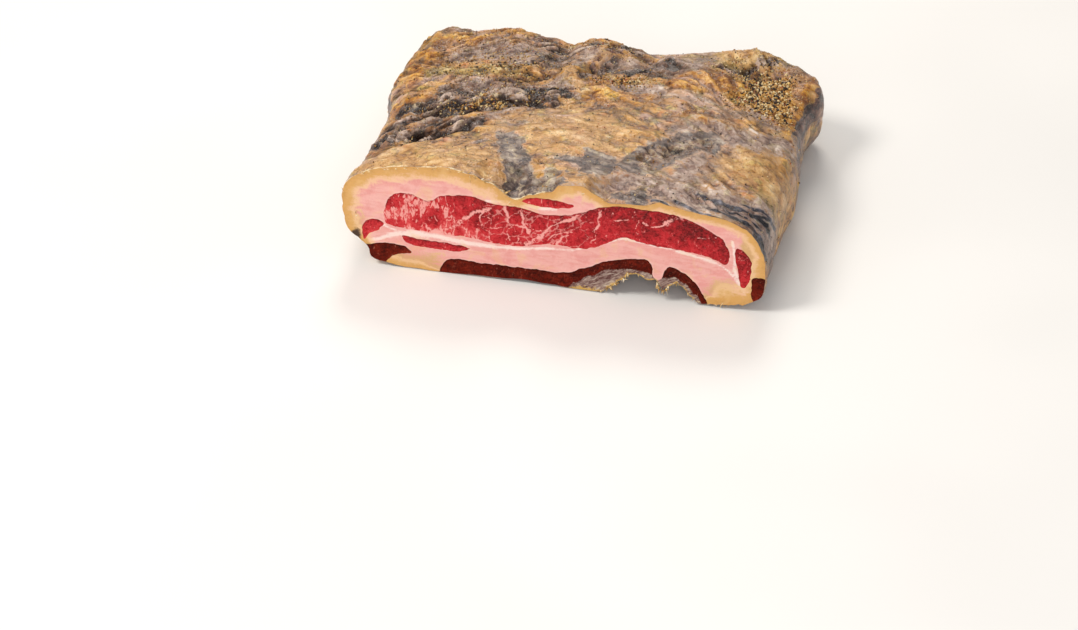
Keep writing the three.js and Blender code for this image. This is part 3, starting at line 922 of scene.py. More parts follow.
def skin_relief(points, normals, depth):
    """Fine relief of the dried skin in mm, and its looks from 0 to 1: painted shade in the creases,
    painted light on the ridges, streaks and wider layers. Made of slow lumps, wrinkles at three
    scales, overlapping layers at two, soft swellings, cracks where a noise crosses 0, grooves on
    the shoulder, and crumbs where there is spice. Amber and pale fat is raised, dark lean is
    sunken, and the sides, the grey mould and the pale fat are calmer."""
    x, y = skin_place(points)
    membrane, haze, mould, pale, spice, stripe, amber = (
        patch(kind, x, y)
        for kind in ("membrane", "haze", "mould", "pale", "spice", "stripe", "amber")
    )
    facing = smooth(np.abs(normals[..., 2]), *SIDEWAYS)
    side = facing * smooth(y, CUT_Y, CUT_Y + RIM_CALM_RUN)
    grey = np.maximum(mould, haze)
    calm = 1 - CALMED * smooth(np.maximum(grey, pale), *FELT["calm"])
    rough = grown(ROUGH, smooth(membrane, *FELT["rough"])) * calm
    folds = [on_skin(billow, points, facing, size, seed) for size, seed, _, _ in WRINKLES]
    wrinkles = sum(rise * fold for fold, (_, _, rise, _) in zip(folds, WRINKLES))
    valleys = sum(share * fold for fold, (_, _, _, share) in zip(folds, WRINKLES))
    shakes = [noise(points, SHAKE_SIZE, seed) for seed in SHAKE_SEEDS]
    shaken = points + SHAKE * np.stack(shakes, axis=-1)
    swollen = billow(shaken, *SWELLINGS)
    cracked = bell(noise(shaken, *CRACKS), 0, CRACK_WIDTH)
    cracks = cracked * smooth(noise(points, *CRACKED_AREAS), *FELT["cracked"])
    crumbs = noise(points, *CRUMBS) * (STRAY_CRUMBS + smooth(spice, *FELT["spice"]))
    loose = smooth(np.maximum(membrane, HAZE_LOOSENED * haze), *FELT["loose"])
    loose = np.maximum(loose, LOOSE_SHARE * smooth(y, *LOOSE_Y) * smooth(x, *LOOSE_X))
    sheets, sheet_feet = on_skin(terraces, points, facing, *SHEETS)
    scales, scale_feet = on_skin(terraces, points, facing, *SCALES)
    raised = AMBER_RISE * smooth(amber, *FELT["amber"]) + PALE_RISE * smooth(pale, *FELT["pale"])
    grooves = GROOVE_DEPTH * smooth(stripe, *FELT["stripe"])
    sunken = grooves + MEMBRANE_DEPTH * smooth(membrane, *FELT["membrane"])
    settled = sum(mound(x, y, *spot) for spot in SETTLED)
    height = (
        LUMP_RISE * clouds(points, *LUMPS)
        + depth * rough * wrinkles
        + depth * grown(SHEETED, loose) * (sheets - LAYER_MIDDLE)
        + depth * grown(SCALED, loose) * calm * (scales - LAYER_MIDDLE)
        + depth * grown(SWOLLEN, smooth(pale, *FELT["swollen"])) * swollen
        - CRACK_DEPTH * cracks * calm
        + raised
        - sunken
        + CRUMB_RISE * crumbs
        - MEAN_RELIEF
    )
    height = height * lerp(1, SIDE_CALM, side) + settled
    layered = SCALE_RIDGE * (scales - LAYER_MIDDLE) + SHEET_RIDGE * (sheets - LAYER_MIDDLE)
    layered = grown(LAYER_RIDGE, loose) * layered
    # Painted light: the raised parts of the relief are painted lighter
    ridge_light = 0.5 + WRINKLE_RIDGE * rough * wrinkles + calm * layered + SWELLING_RIDGE * swollen
    # Painted shade: the deeper wrinkles, the cracks, the furrows that face up and the feet of the
    # layers are painted darker
    crease_shade = np.clip(-valleys / CREASE_RANGE, 0, 1)
    furrow = furrow_depth(points[..., 0], points[..., 1]) / FULL_FURROW
    furrow = furrow * smooth(normals[..., 2], *UPWARDS)
    feet = grown(FOOT_CREASE, loose) * np.maximum(sheet_feet, SCALE_FOOT * scale_feet)
    crease_shade = crease_shade * rough + CRACK_CREASE * cracks + FURROW_CREASE * furrow + feet
    looks = {
        "crease_shade": crease_shade,
        "ridge_light": ridge_light,
        "streak": 0.5 + TONE_SPREAD * on_skin(clouds, points, facing, *STREAKS),
        "layer": 0.5 + TONE_SPREAD * on_skin(clouds, points, facing, *WIDE_LAYERS),
    }
    return height, {name: np.clip(value, 0, 1) for name, value in looks.items()}


# How much of the relief, and of the painted shade in the creases, is left at the cut
RIM_CALM = 0.5
RIM_CREASE = 0.5
SLIT = 0.04


def close_end(ring, upper):
    """Brings the upper and the lower half of the last ring together at their mean place at each x,
    a hair apart, so that the end has no slit."""
    halves = [half[np.argsort(half[:, 0])] for half in (ring[upper], ring[~upper])]
    for k in (1, 2):
        ring[:, k] = sum(np.interp(ring[:, 0], half[:, 0], half[:, k]) for half in halves) / 2
    ring[:, 2] += np.where(upper, SLIT, -SLIT)


def slab_surface(depth):
    """The whole outer form on a grid of rings and columns, moved along its normals by the fine
    relief, which is calmer near the cut, and the looks of its skin. The underside stays on or
    above the floor."""
    across, level = section_columns()
    travel = np.linspace(0, 1, BODY_ROWS + 1)[:, None]
    points = np.concatenate([body_rings(across, level, travel), end_rings(across, level)])
    round_step = np.roll(points, -1, axis=1) - np.roll(points, 1, axis=1)
    normals = np.cross(round_step, np.gradient(points, axis=0))
    normals /= np.linalg.norm(normals, axis=-1, keepdims=True) + 1e-9
    height, looks = skin_relief(points, normals, depth)
    calm = lerp(RIM_CALM, 1, smooth(points[..., 1], CUT_Y, CUT_Y + RIM_CALM_RUN))
    moved = points + normals * (height * calm)[..., None]
    moved[..., 1] = np.where(points[..., 1] <= CUT_Y, points[..., 1], moved[..., 1])
    close_end(moved[-1], level > 0)
    moved[..., 2] = np.maximum(moved[..., 2], 0)
    # The painted shade in the creases is weaker near the cut
    looks["crease_shade"] *= lerp(RIM_CREASE, 1, calm)
    return moved, looks


def tube_faces(rings, columns):
    """Quads between rings of the same number of points, facing out for clockwise rings, and the
    two rings as end faces."""
    r, c = np.meshgrid(np.arange(rings - 1), np.arange(columns), indexing="ij")
    a, b = r * columns + c, r * columns + (c + 1) % columns
    quads = np.stack([a, b, b + columns, a + columns], axis=-1).reshape(-1, 4)
    ring = np.arange(columns)
    return quads, [ring[::-1], ring + (rings - 1) * columns]


def set_points(mesh, points):
    """Places the mesh's vertices, given in mm in the slab's own measures."""
    mesh.vertices.foreach_set("co", ((points + MIDDLE_SHIFT) * MM).astype(np.float32).ravel())


def read_all(items, name, width=1, kind=np.float32):
    """A property of all vertices, faces or corners of a mesh, as one array or as rows."""
    values = np.empty(len(items) * width, kind)
    items.foreach_get(name, values)
    return values if width == 1 else values.reshape(-1, width)


# Places of the two materials on the slab and on what cuts it
SKIN_SLOT = 0
CUT_SLOT = 1


def new_piece(name, points, faces, materials, lids=(), slot=SKIN_SLOT):
    """A mesh object of the given points in mm, quads or triangles, and end faces of any size, all
    with the material in the slot."""
    sizes = np.concatenate([np.full(len(faces), faces.shape[1]), [len(lid) for lid in lids]])
    loops = np.concatenate([faces.ravel(), *lids]).astype(np.int32)
    starts = (np.cumsum(sizes) - sizes).astype(np.int32)
    mesh = bpy.data.meshes.new(name)
    mesh.vertices.add(len(points))
    set_points(mesh, points)
    mesh.loops.add(len(loops))
    mesh.loops.foreach_set("vertex_index", loops)
    mesh.polygons.add(len(sizes))
    mesh.polygons.foreach_set("loop_start", starts)
    for material in materials:
        mesh.materials.append(material)
    mesh.polygons.foreach_set("material_index", np.full(len(sizes), slot, np.int32))
    mesh.update(calc_edges=True)
    piece = bpy.data.objects.new(name, mesh)
    bpy.context.scene.collection.objects.link(piece)
    return piece


def points_of(piece):
    """The piece's vertices in mm, in the slab's own measures."""
    return read_all(piece.data.vertices, "co", 3).astype(float) / MM - MIDDLE_SHIFT


def store(piece, name, values):
    """Writes one number for each vertex as a named attribute."""
    found = piece.data.attributes.get(name)
    layer = found or piece.data.attributes.new(name, "FLOAT", "POINT")
    layer.data.foreach_set("value", np.asarray(values, np.float32).ravel())


def combine(piece, tool, operation):
    """Cuts, joins or intersects the piece's mesh with the tool's, and keeps the result."""
    change = piece.modifiers.new("combine", "BOOLEAN")
    change.operation = operation
    change.solver = "MANIFOLD"
    change.object = tool
    shown = piece.evaluated_get(bpy.context.evaluated_depsgraph_get())
    mesh = bpy.data.meshes.new_from_object(shown)
    old = piece.data
    piece.modifiers.remove(change)
    piece.data = mesh
    mesh.name = piece.name
    bpy.data.meshes.remove(old)


def drop(piece):
    """Removes a helper object and its mesh."""
    mesh = piece.data
    bpy.data.objects.remove(piece)
    bpy.data.meshes.remove(mesh)


def cutting_block(low, high, step, materials):
    """A closed box behind the cut whose front is a fine grid, so that what it cuts gets a cut face
    with many vertices: the same grid at the cut and far behind it, joined round the border."""
    xs = np.arange(low[0], high[0] + step, step)
    zs = np.arange(low[1], high[1] + step, step)
    x, z = np.meshgrid(xs, zs, indexing="ij")
    front = np.stack([x, np.full_like(x, CUT_Y), z], axis=-1).reshape(-1, 3)
    back = front + [0, SLAB_DEPTH + BACK_BULGE, 0]
    i, j = np.meshgrid(np.arange(len(xs) - 1), np.arange(len(zs) - 1), indexing="ij")
    a = (i * len(zs) + j).ravel()
    cell = np.stack([a, a + len(zs), a + len(zs) + 1, a + 1], axis=1)
    border = np.concatenate([
        np.arange(len(xs)) * len(zs),
        (len(xs) - 1) * len(zs) + np.arange(1, len(zs)),
        np.arange(len(xs) - 2, -1, -1) * len(zs) + len(zs) - 1,
        np.arange(len(zs) - 2, 0, -1),
    ])
    following = np.roll(border, -1)
    sides = np.stack([following, border, border + len(front), following + len(front)], axis=1)
    quads = np.concatenate([cell, cell[:, ::-1] + len(front), sides])
    return new_piece("block", np.concatenate([front, back]), quads, materials, slot=CUT_SLOT)


def cut_straight(piece, low, high, step, materials):
    """Keeps what lies behind the cut, with a fine grid of vertices on the cut face."""
    block = cutting_block(low, high, step, materials)
    combine(piece, block, "INTERSECT")
    drop(block)


CURVE_STEPS = 24


def smooth_outline(outline, step):
    """Closed centripetal Catmull-Rom curve through the outline, with points evenly spaced."""
    knots = np.array(outline, float)
    before, start, end, after = (np.roll(knots, shift, axis=0) for shift in (1, 0, -1, -2))
    d0, d1, d2 = (
        np.linalg.norm(b - a, axis=1, keepdims=True) ** 0.5
        for a, b in ((before, start), (start, end), (end, after))
    )
    leaving = ((start - before) / d0 - (end - before) / (d0 + d1) + (end - start) / d1) * d1
    arriving = ((end - start) / d1 - (after - start) / (d1 + d2) + (after - end) / d2) * d1
    t = np.linspace(0, 1, CURVE_STEPS, endpoint=False)[None, :, None]
    square = -3 * start + 3 * end - 2 * leaving - arriving
    cube = 2 * start - 2 * end + leaving + arriving
    curve = start[:, None] + leaving[:, None] * t + square[:, None] * t**2 + cube[:, None] * t**3
    curve = curve.reshape(-1, 2)
    closed = np.concatenate([curve, curve[:1]])
    length = np.concatenate([[0], np.cumsum(np.linalg.norm(np.diff(closed, axis=0), axis=1))])
    places = np.linspace(0, length[-1], int(length[-1] / step), endpoint=False)
    return np.stack([np.interp(places, length, closed[:, k]) for k in (0, 1)], axis=1)


SINKING = 0.07
SINKING_RUN = 0.08
NARROWING = 0.05
HOLLOW_TOP_REACH = 45.0
HOLLOW_FOOT_REACH = 14.0
LAYER_ROWS = 6
END_TAPER = 0.45
# Noise that makes an outline ragged, as (height, size)
RAGGED = ((0.45, 3.4), (0.2, 1.3))


def run_back(x, z, y):
    """How a point of the cut moves as its layer runs back: it follows the thickness, keeps clear
    of the skin, and sinks where the hollow under the slab fades out."""
    along = np.clip((y - CUT_Y) / SLAB_DEPTH, 0, 1)
    share = plain_top(x, y) / plain_top(x, CUT_Y)
    drop_by = hollow(x, CUT_Y + TORN_LENGTH) - hollow(x, np.maximum(y, CUT_Y + TORN_LENGTH))
    felt = 1 - smooth(z, HOLLOW_FOOT_REACH, HOLLOW_TOP_REACH)
    clear = 1 - SINKING * smooth(along, 0, SINKING_RUN)
    height = (z - np.maximum(0, drop_by) * felt) * share * clear
    x, y, height = np.broadcast_arrays(x * (1 - NARROWING * along), y, height)
    return np.stack([x, y, height], axis=-1)


def flat_on_cut(x, z):
    """Places on the cut, for noise: (x, 0, z)."""
    return np.stack([x, np.zeros_like(x), z], axis=-1)


def layer_outline(name):
    """The layer's smooth outline at the cut, made ragged by noise along its normals."""
    base = smooth_outline(LEAN_LAYERS[name][2], OUTLINE_STEP)
    step = np.roll(base, -1, axis=0) - np.roll(base, 1, axis=0)
    sideways = np.stack([-step[:, 1], step[:, 0]], axis=1)
    sideways /= np.linalg.norm(sideways, axis=1, keepdims=True)
    flat = flat_on_cut(*base.T)
    ragged = sum(rise * noise(flat, size, 23 + k) for k, (rise, size) in enumerate(RAGGED))
    return base + sideways * ragged[:, None]


def layer_piece(name, materials):
    """A lean layer: its outline, turned clockwise, is carried back through the slab and slimmer
    towards its end."""
    reach = LEAN_LAYERS[name][0]
    outline = layer_outline(name)
    x, z = outline.T
    if np.sum(x * np.roll(z, -1) - z * np.roll(x, -1)) > 0:
        outline = outline[::-1]
    middle = outline.mean(axis=0)
    travel = np.linspace(0, 1, LAYER_ROWS + 1)[:, None]
    slim = 1 - END_TAPER * travel**3
    y = lerp(CUT_Y - OVERSHOOT, CUT_Y + SLAB_DEPTH * reach, travel)
    x = middle[0] + (outline[:, 0] - middle[0]) * slim
    z = middle[1] + (outline[:, 1] - middle[1]) * slim
    rings = run_back(x, z, y)
    quads, lids = tube_faces(*rings.shape[:2])
    return new_piece(name + "_meat", rings.reshape(-1, 3), quads, materials, lids, CUT_SLOT)


FACE_REACH = 0.05
FACE_SINK = 0.22
KNIFE_WAVE = 0.16
KNIFE_WAVE_SIZE = (16, 1, 9)
FACE_GRAIN = 0.06
FACE_GRAIN_SIZE = 1.8


def face_relief(x, z):
    """How far the cut face sinks at a point: slow waves of the knife and fine grain."""
    flat = flat_on_cut(x, z)
    waves = KNIFE_WAVE * clouds(flat, KNIFE_WAVE_SIZE, 41, 2)
    return FACE_SINK + waves + FACE_GRAIN * noise(flat, FACE_GRAIN_SIZE, 43)


def sink_face(piece):
    """Moves the vertices on the cut plane back by the face relief."""
    points = points_of(piece)
    on_cut = np.abs(points[:, 1] - CUT_Y) < FACE_REACH
    points[:, 1] += np.where(on_cut, face_relief(points[:, 0], points[:, 2]), 0)
    set_points(piece.data, points)
    piece.data.update()


CHUNK = 3000


def nearest(points, targets):
    """Distance from each point to the nearest target, both flat, for CHUNK points at a time."""
    found = np.empty(len(points))
    for start in range(0, len(points), CHUNK):
        part = points[start:start + CHUNK]
        gaps = (part[:, None, 0] - targets[None, :, 0]) ** 2
        gaps += (part[:, None, 1] - targets[None, :, 1]) ** 2
        found[start:start + CHUNK] = np.sqrt(gaps.min(axis=1))
    return found


SHARP_ANGLE = 55


def soften(piece):
    """Smooth shading, with edges sharper than SHARP_ANGLE kept sharp."""
    piece.data.shade_smooth()
    piece.data.set_sharp_from_angle(angle=math.radians(SHARP_ANGLE))


def linear(colour):
    """An sRGB hex value such as c09060 as linear red, green, blue and an alpha of 1. A colour that
    is linear already stays as it is."""
    if not isinstance(colour, str):
        return tuple(colour)
    parts = [int(colour[i:i + 2], 16) / 255 for i in (0, 2, 4)]
    return (*(c / 12.92 if c <= 0.04045 else ((c + 0.055) / 1.055) ** 2.4 for c in parts), 1.0)


def add(tree, kind, inputs=None, tones=(), **settings):
    """Adds a node with its settings, sets or links its inputs, and gives a ramp evenly spread
    tones."""
    node = tree.nodes.new(kind)
    for name, value in settings.items():
        setattr(node, name, value)
    for key, value in (inputs or {}).items():
        if isinstance(value, bpy.types.NodeSocket):
            tree.links.new(value, node.inputs[key])
        else:
            node.inputs[key].default_value = value
    for share in np.linspace(0, 1, len(tones))[1:-1]:
        node.color_ramp.elements.new(float(share))
    for i, tone in enumerate(tones):
        node.color_ramp.elements[i].color = linear(tone)
    return node.outputs


def weighted(tree, start, parts):
    """start plus each source times its weight."""
    for source, weight in parts:
        inputs = {0: source, 1: weight, 2: start}
        start = add(tree, "ShaderNodeMath", inputs, operation="MULTIPLY_ADD")[0]
    return start


# Sockets of a Mix node that mixes colours
MIX_FACTOR = 0
MIX_A = 6
MIX_B = 7
MIX_RESULT = 2


def paint(tree, colour, layers, blend="MIX"):
    """Paints layers over a colour. Each is (source, low, high, strength, tone): its cover eases
    from 0 where the source is low to its strength where it is high."""
    for source, low, high, strength, tone in layers:
        cover = add(tree, "ShaderNodeMapRange", {
            "Value": source, "From Min": low, "From Max": high, "To Max": strength,
        }, interpolation_type="SMOOTHSTEP")[0]
        over = tone if isinstance(tone, bpy.types.NodeSocket) else linear(tone)
        inputs = {MIX_FACTOR: cover, MIX_A: colour, MIX_B: over}
        colour = add(tree, "ShaderNodeMix", inputs, data_type="RGBA", blend_type=blend)[MIX_RESULT]
    return colour


def per_metre(size):
    """Scale of a texture node whose features are the given number of mm apart."""
    return 1 / (size * MM)


def new_material(name):
    """An empty node material with Object coordinates: the material, its tree and coordinates."""
    material = bpy.data.materials.new(name)
    material.use_nodes = True
    tree = material.node_tree
    tree.nodes.clear()
    return material, tree, add(tree, "ShaderNodeTexCoord")["Object"]


def finish_material(tree, colour, inputs):
    """The surface shader and output: uniform numbers go straight on the shader's own sockets."""
    surface = add(tree, "ShaderNodeBsdfPrincipled", {"Base Color": colour, **inputs})[0]
    add(tree, "ShaderNodeOutputMaterial", {"Surface": surface})


BUMP_STRENGTH = 0.4

# Kinds of patch on the skin: how rough its border is, where its cover starts and is full, how much
# the streaks move its tones, strength and colour of its border, and its tones from dark to pale
SKIN_KINDS = (
    ("amber", 0.9, 0.36, 0.6, 0.3, "a8743a", ("6b3c12", "9c6220", "c58c34", "dca950", "ecca86")),
    ("olive", 0.9, 0.36, 0.6, 0.3, "a07e42", ("54431f", "8c7039", "b39456", "cdae70", "e2cb9a")),
    ("pale", 0.8, 0.32, 0.6, 0.1, "c2945a", ("8c6034", "b58449", "cfa269", "dfba84", "eed5aa")),
    ("haze", 1.2, 0.38, 0.68, 0.35, "aa8768", ("54403a", "856a5e", "a88f80", "c2aa9a", "dccabc")),
    ("mould", 0.7, 0.43, 0.56, 0.7, "d2ab8a", ("352a28", "5c4c47", "867368", "ac9c8a", "d8c9b2")),
    ("membrane", 1.0, 0.4, 0.6, 0.9, "8a6040", ("1a100d", "40302a", "6c564b", "987f70", "c8b09e")),
    ("plum", 0.6, 0.43, 0.55, 0.3, "b98a4c", ("281817", "503630", "78564a", "9c7866", "c4a28c")),
    ("stripe", 0.5, 0.4, 0.6, 1.0, "948a88", ("15141a", "2c2b34", "4a4852", "76737c", "b0adb4")),
)


def make_skin(tan):
    """Cured fat dried in air: leathery and wrinkled, tan to amber where fat shows, greyish mauve
    where the bloom of curing lies, and near black where thin lean has dried. It was rubbed with
    salt and pepper and has a greasy sheen, so its tones run in soft streaks along the wrinkles,
    its hue wanders from amber to mauve, and its gloss is uneven. Light and shade are painted in
    too: the ridges are painted paler, the creases darker, and a painted highlight runs along the
    edge of the cut."""
    material, tree, where = new_material("air_dried_skin")
    cloud, mottle, tint, grain = (
        add(tree, "ShaderNodeTexNoise", {
            "Vector": where, "Scale": per_metre(size), "Detail": detail, "Roughness": rough,
            "Distortion": bend,
        })[0]
        for size, detail, rough, bend in (
            (12, 5.0, 0.6, 0.5), (2.8, 4.0, 0.62, 0.8), (7, 3.0, 0.55, 0.4), (1.0, 2.0, 0.6, 0.0),
        )
    )
    speck, shrunk = (
        add(tree, "ShaderNodeTexVoronoi", {
            "Vector": where, "Scale": per_metre(size), "Randomness": 1.0,
        }, feature=feature)[0]
        for size, feature in ((1.6, "F1"), (8, "DISTANCE_TO_EDGE"))
    )
    ridge_light, crease_shade, streak, layer, spice, edge_highlight = (
        add(tree, "ShaderNodeAttribute", attribute_name=name)["Fac"]
        for name in ("ridge_light", "crease_shade", "streak", "layer", "spice", "edge_highlight")
    )
    # The ridges are painted lighter, as painted light
    tone = weighted(tree, -1.8, ((mottle, 1.6), (cloud, 1.4), (ridge_light, 1.3)))
    drawn = weighted(tree, -0.5, ((streak, 1.0),))
    wander = weighted(tree, -1.2, ((streak, 0.6), (mottle, 1.0), (tint, 0.8)))
    tan_ramp = add(tree, "ShaderNodeValToRGB", {"Fac": tone}, (
        "583820", "8c613c", tan, "cb9c64", "dfbd90",
    ))[0]
    base = paint(tree, tan_ramp, (
        (cloud, 0.52, 0.66, 0.45, "cb9c5a"),
        (cloud, 0.46, 0.36, 0.35, "a98672"),
    ))
    base = paint(tree, base, (
        (layer, 0.52, 0.66, 0.55, "c08a2c"),
        (layer, 0.44, 0.3, 0.36, "8c7a7c"),
        (tint, 0.54, 0.68, 0.4, "a5964a"),
        (tint, 0.42, 0.3, 0.35, "ba6a34"),
    ), "COLOR")
    masks = {}
    for name, rough, low, high, streaked, border, tones in SKIN_KINDS:
        masks[name] = add(tree, "ShaderNodeAttribute", attribute_name=name)["Fac"]
        moved = weighted(tree, masks[name], ((wander, rough),))
        shade = weighted(tree, tone, ((drawn, streaked),))
        ramp = add(tree, "ShaderNodeValToRGB", {"Fac": shade}, tones)[0]
        base = paint(tree, base, (
            (moved, low - 0.12, low + 0.04, 0.55, border),
            (moved, low, high, 1.0, ramp),
        ))
    base = paint(tree, base, (
        (layer, 0.44, 0.3, 0.12, "8c7a7c"),
        (tint, 0.54, 0.68, 0.3, "a5964a"),
        (tint, 0.42, 0.3, 0.3, "ba6a34"),
    ), "COLOR")
    near = weighted(tree, -0.22, ((spice, 0.4), (speck, -1.0), (tint, 0.6)))
    crack = weighted(tree, 0.36, ((shrunk, 1.0), (mottle, -0.2), (tint, -0.6)))
    # A painted highlight along the edge of the cut, broken by noise
    painted_edge_highlight = weighted(tree, edge_highlight, ((wander, 1.2),))
    dusted = weighted(tree, -1.0, ((masks["mould"], 0.6), (mottle, 1.6)))
    base = paint(tree, base, (
        (grain, 0.6, 0.76, 0.3, "e6cda6"),
        (grain, 0.42, 0.28, 0.35, "4a3022"),
        (dusted, 0.46, 0.62, 0.35, "c6b28c"),
        (near, -0.04, 0.1, 0.75, "38251a"),
        (crack, -0.02, -0.08, 0.5, "5e3c26"),
        # painted shade in the creases
        (crease_shade, 0.25, 1.0, 0.6, "2e1c14"),
        # painted highlight along the edge of the cut
        (painted_edge_highlight, 0.45, 0.8, 0.85, "f4dfb4"),
    ))
    roughness = weighted(tree, 0.08, ((mottle, 0.5), (masks["membrane"], -0.08)))
    rise = weighted(tree, 0.0, ((mottle, 1.2), (grain, 0.25)))
    bump = add(tree, "ShaderNodeBump", {"Strength": 0.8, "Distance": 0.7 * MM, "Height": rise})[0]
    finish_material(tree, base, {
        "Roughness": roughness, "Normal": bump, "Specular IOR Level": 0.5, "IOR": 1.46,
    })
    return material


def torn_layers(tree, where, wander):
    """Paint for the torn zone: dried membrane pulled apart, in silvery and purple-brown strands
    that lean to the right, and yellow fat along its frayed lower edge."""
    turned = add(tree, "ShaderNodeMapping", {
        "Vector": where, "Rotation": (0, -0.5, 0), "Scale": (3.0, 1.6, 0.9),
    }, vector_type="TEXTURE")[0]
    strand = add(tree, "ShaderNodeTexNoise", {
        "Vector": turned, "Scale": per_metre(1.5), "Detail": 5.0, "Roughness": 0.7,
        "Distortion": 0.9,
    })[0]
    tone = weighted(tree, -0.8, ((strand, 2.5),))
    ramp = add(tree, "ShaderNodeValToRGB", {"Fac": tone}, (
        "3a2220", "664843", "90786f", "b5a392", "e0d3bf",
    ))[0]
    torn, frayed = (
        weighted(tree, add(tree, "ShaderNodeAttribute", attribute_name=name)["Fac"], ((wander, w),))
        for name, w in (("torn", 0.9), ("frayed", 1.1))
    )
    return (torn, 0.35, 0.7, 0.95, ramp), (frayed, 0.4, 0.75, 0.85, "cfa75a")


def make_cut_fat(fat, rim_tone):
    """Cured back fat, freshly sliced: dense and waxy, pinkish white and a little translucent, with
    white sinew beside the lean, a yellow, oxidised border under the skin and a thin bloom of
    grease that shines."""
    material, tree, where = new_material("sliced_cured_fat")
    stretched = add(tree, "ShaderNodeMapping", {"Vector": where, "Scale": (0.25, 1.0, 1.0)})[0]
    layers, mottle, cloud = (
        add(tree, "ShaderNodeTexNoise", {
            "Vector": at, "Scale": per_metre(size), "Detail": detail, "Roughness": rough,
            "Distortion": bend,
        })[0]
        for at, size, detail, rough, bend in (
            (stretched, 3.2, 5.0, 0.6, 0.7), (where, 1.2, 4.0, 0.65, 0.0),
            (where, 9, 4.0, 0.55, 0.8),
        )
    )
    wander = weighted(tree, -1.0, ((layers, 0.8), (mottle, 0.5), (cloud, 0.7)))
    rim, beside_lean, sinew, creamy, dried = (
        weighted(tree, add(tree, "ShaderNodeAttribute", attribute_name=name)["Fac"], ((wander, w),))
        for name, w in (
            ("rim", 0.9), ("lean_edge", 0.5), ("sinew", 1.0), ("creamy", 0.9), ("dried", 0.8),
        )
    )
    base = paint(tree, fat, (
        (layers, 0.38, 0.62, 1.0, "e9aea5"),
        (cloud, 0.48, 0.34, 0.35, "db8c86"),
        (mottle, 0.56, 0.74, 0.35, "f3cec3"),
        (beside_lean, 0.35, 0.95, 0.45, "efbdb2"),
        (sinew, 0.4, 0.85, 0.8, "f5e2d8"),
        (creamy, 0.3, 0.7, 0.9, "cca268"),
        (rim, 0.12, 0.4, 0.8, "e9c093"),
        (rim, 0.4, 0.72, 0.9, rim_tone),
        (rim, 0.78, 1.0, 0.45, "bd8a48"),
        (cloud, 0.52, 0.66, 0.3, "e6bf85"),
        (mottle, 0.42, 0.3, 0.22, "c07f6c"),
        (dried, 0.4, 0.7, 0.95, "2e1c18"),
        *torn_layers(tree, where, wander),
    ))
    rise = weighted(tree, 0.0, ((mottle, 1.0), (layers, 0.8)))
    bump = add(tree, "ShaderNodeBump", {
        "Strength": BUMP_STRENGTH, "Distance": 0.5 * MM, "Height": rise,
    })[0]
    roughness = weighted(tree, 0.14, ((layers, 0.4),))
    finish_material(tree, base, {
        "Roughness": roughness, "Normal": bump, "Specular IOR Level": 0.35, "IOR": 1.45,
    })
    return material


FIBRE_SHIFT = 6.0


def make_lean(name, tones, seam_tone, gloss, shine):
    """Cured lean pork: bundles of fibre cut across, deep red and moist, with a trace of paler fat
    between them, darker under the skin and brighter below, and marbled where the attributes say
    so. Dried, it is brown and duller."""
    material, tree, where = new_material(name)
    upright = add(tree, "ShaderNodeMapping", {"Vector": where, "Scale": (1.0, 1.0, 0.4)})[0]
    cloud, mottle, fleck, shift, drops = (
        add(tree, "ShaderNodeTexNoise", {
            "Vector": at, "Scale": per_metre(size), "Detail": detail, "Roughness": rough,
            "Distortion": bend,
        })[output]
        for at, size, detail, rough, bend, output in (
            (where, 7, 4.0, 0.6, 0.8, 0),
            (where, 2.4, 4.0, 0.6, 1.4, 0),
            (where, 0.9, 2.0, 0.6, 0.0, 0),
            (where, 5, 3.0, 0.5, 0.0, "Color"),
            (upright, 1.6, 3.0, 0.55, 0.9, 0),
        )
    )
    bent = add(tree, "ShaderNodeVectorMath", {
        0: shift, 1: (FIBRE_SHIFT * MM,) * 3, 2: where,
    }, operation="MULTIPLY_ADD")[0]
    leaning = add(tree, "ShaderNodeMapping", {
        "Vector": bent, "Rotation": (0, -0.6, 0), "Scale": (1.4, 1.0, 0.8),
    }, vector_type="TEXTURE")[0]
    bundle, strand = (
        add(tree, "ShaderNodeTexVoronoi", {
            "Vector": leaning, "Scale": per_metre(size), "Randomness": 1.0,
        }, feature="DISTANCE_TO_EDGE")[0]
        for size in (6.5, 1.9)
    )
    seam, marbled, edge, share, net = (
        add(tree, "ShaderNodeAttribute", attribute_name=name)["Fac"]
        for name in ("seam", "marbled", "edge", "share", "net")
    )
    wander = weighted(tree, -1.1, ((mottle, 1.4), (fleck, 0.8)))
    vein = weighted(tree, seam, ((wander, 1.0),))
    hair = weighted(tree, 0.0, ((bundle, -3.2), (net, 0.2), (wander, 0.4)))
    streaked = weighted(tree, -0.62, ((drops, 1.3), (marbled, 0.27), (mottle, 0.2)))
    tone = weighted(tree, -0.58, (
        (mottle, 0.9), (cloud, 1.0), (fleck, 0.2), (marbled, 0.25), (share, -0.26),
    ))
    flesh = add(tree, "ShaderNodeValToRGB", {"Fac": tone}, tones)[0]
    edged = weighted(tree, edge, ((wander, 0.6),))
    base = paint(tree, flesh, (
        (strand, 0.14, 0.0, 0.3, tones[3]),
        (hair, 0.02, 0.2, 0.5, seam_tone),
        (streaked, 0.34, 0.46, 0.85, seam_tone),
        (vein, 0.35, 0.75, 0.95, seam_tone),
        (edged, 0.3, 0.8, 0.5, tones[0]),
        *torn_layers(tree, where, wander),
    ))
    bump = add(tree, "ShaderNodeBump", {
        "Strength": BUMP_STRENGTH, "Distance": 0.5 * MM, "Height": mottle,
    })[0]
    roughness = weighted(tree, gloss - 0.2, ((mottle, 0.5),))
    finish_material(tree, base, {
        "Roughness": roughness, "Normal": bump, "Specular IOR Level": shine, "IOR": 1.42,
    })
    return material


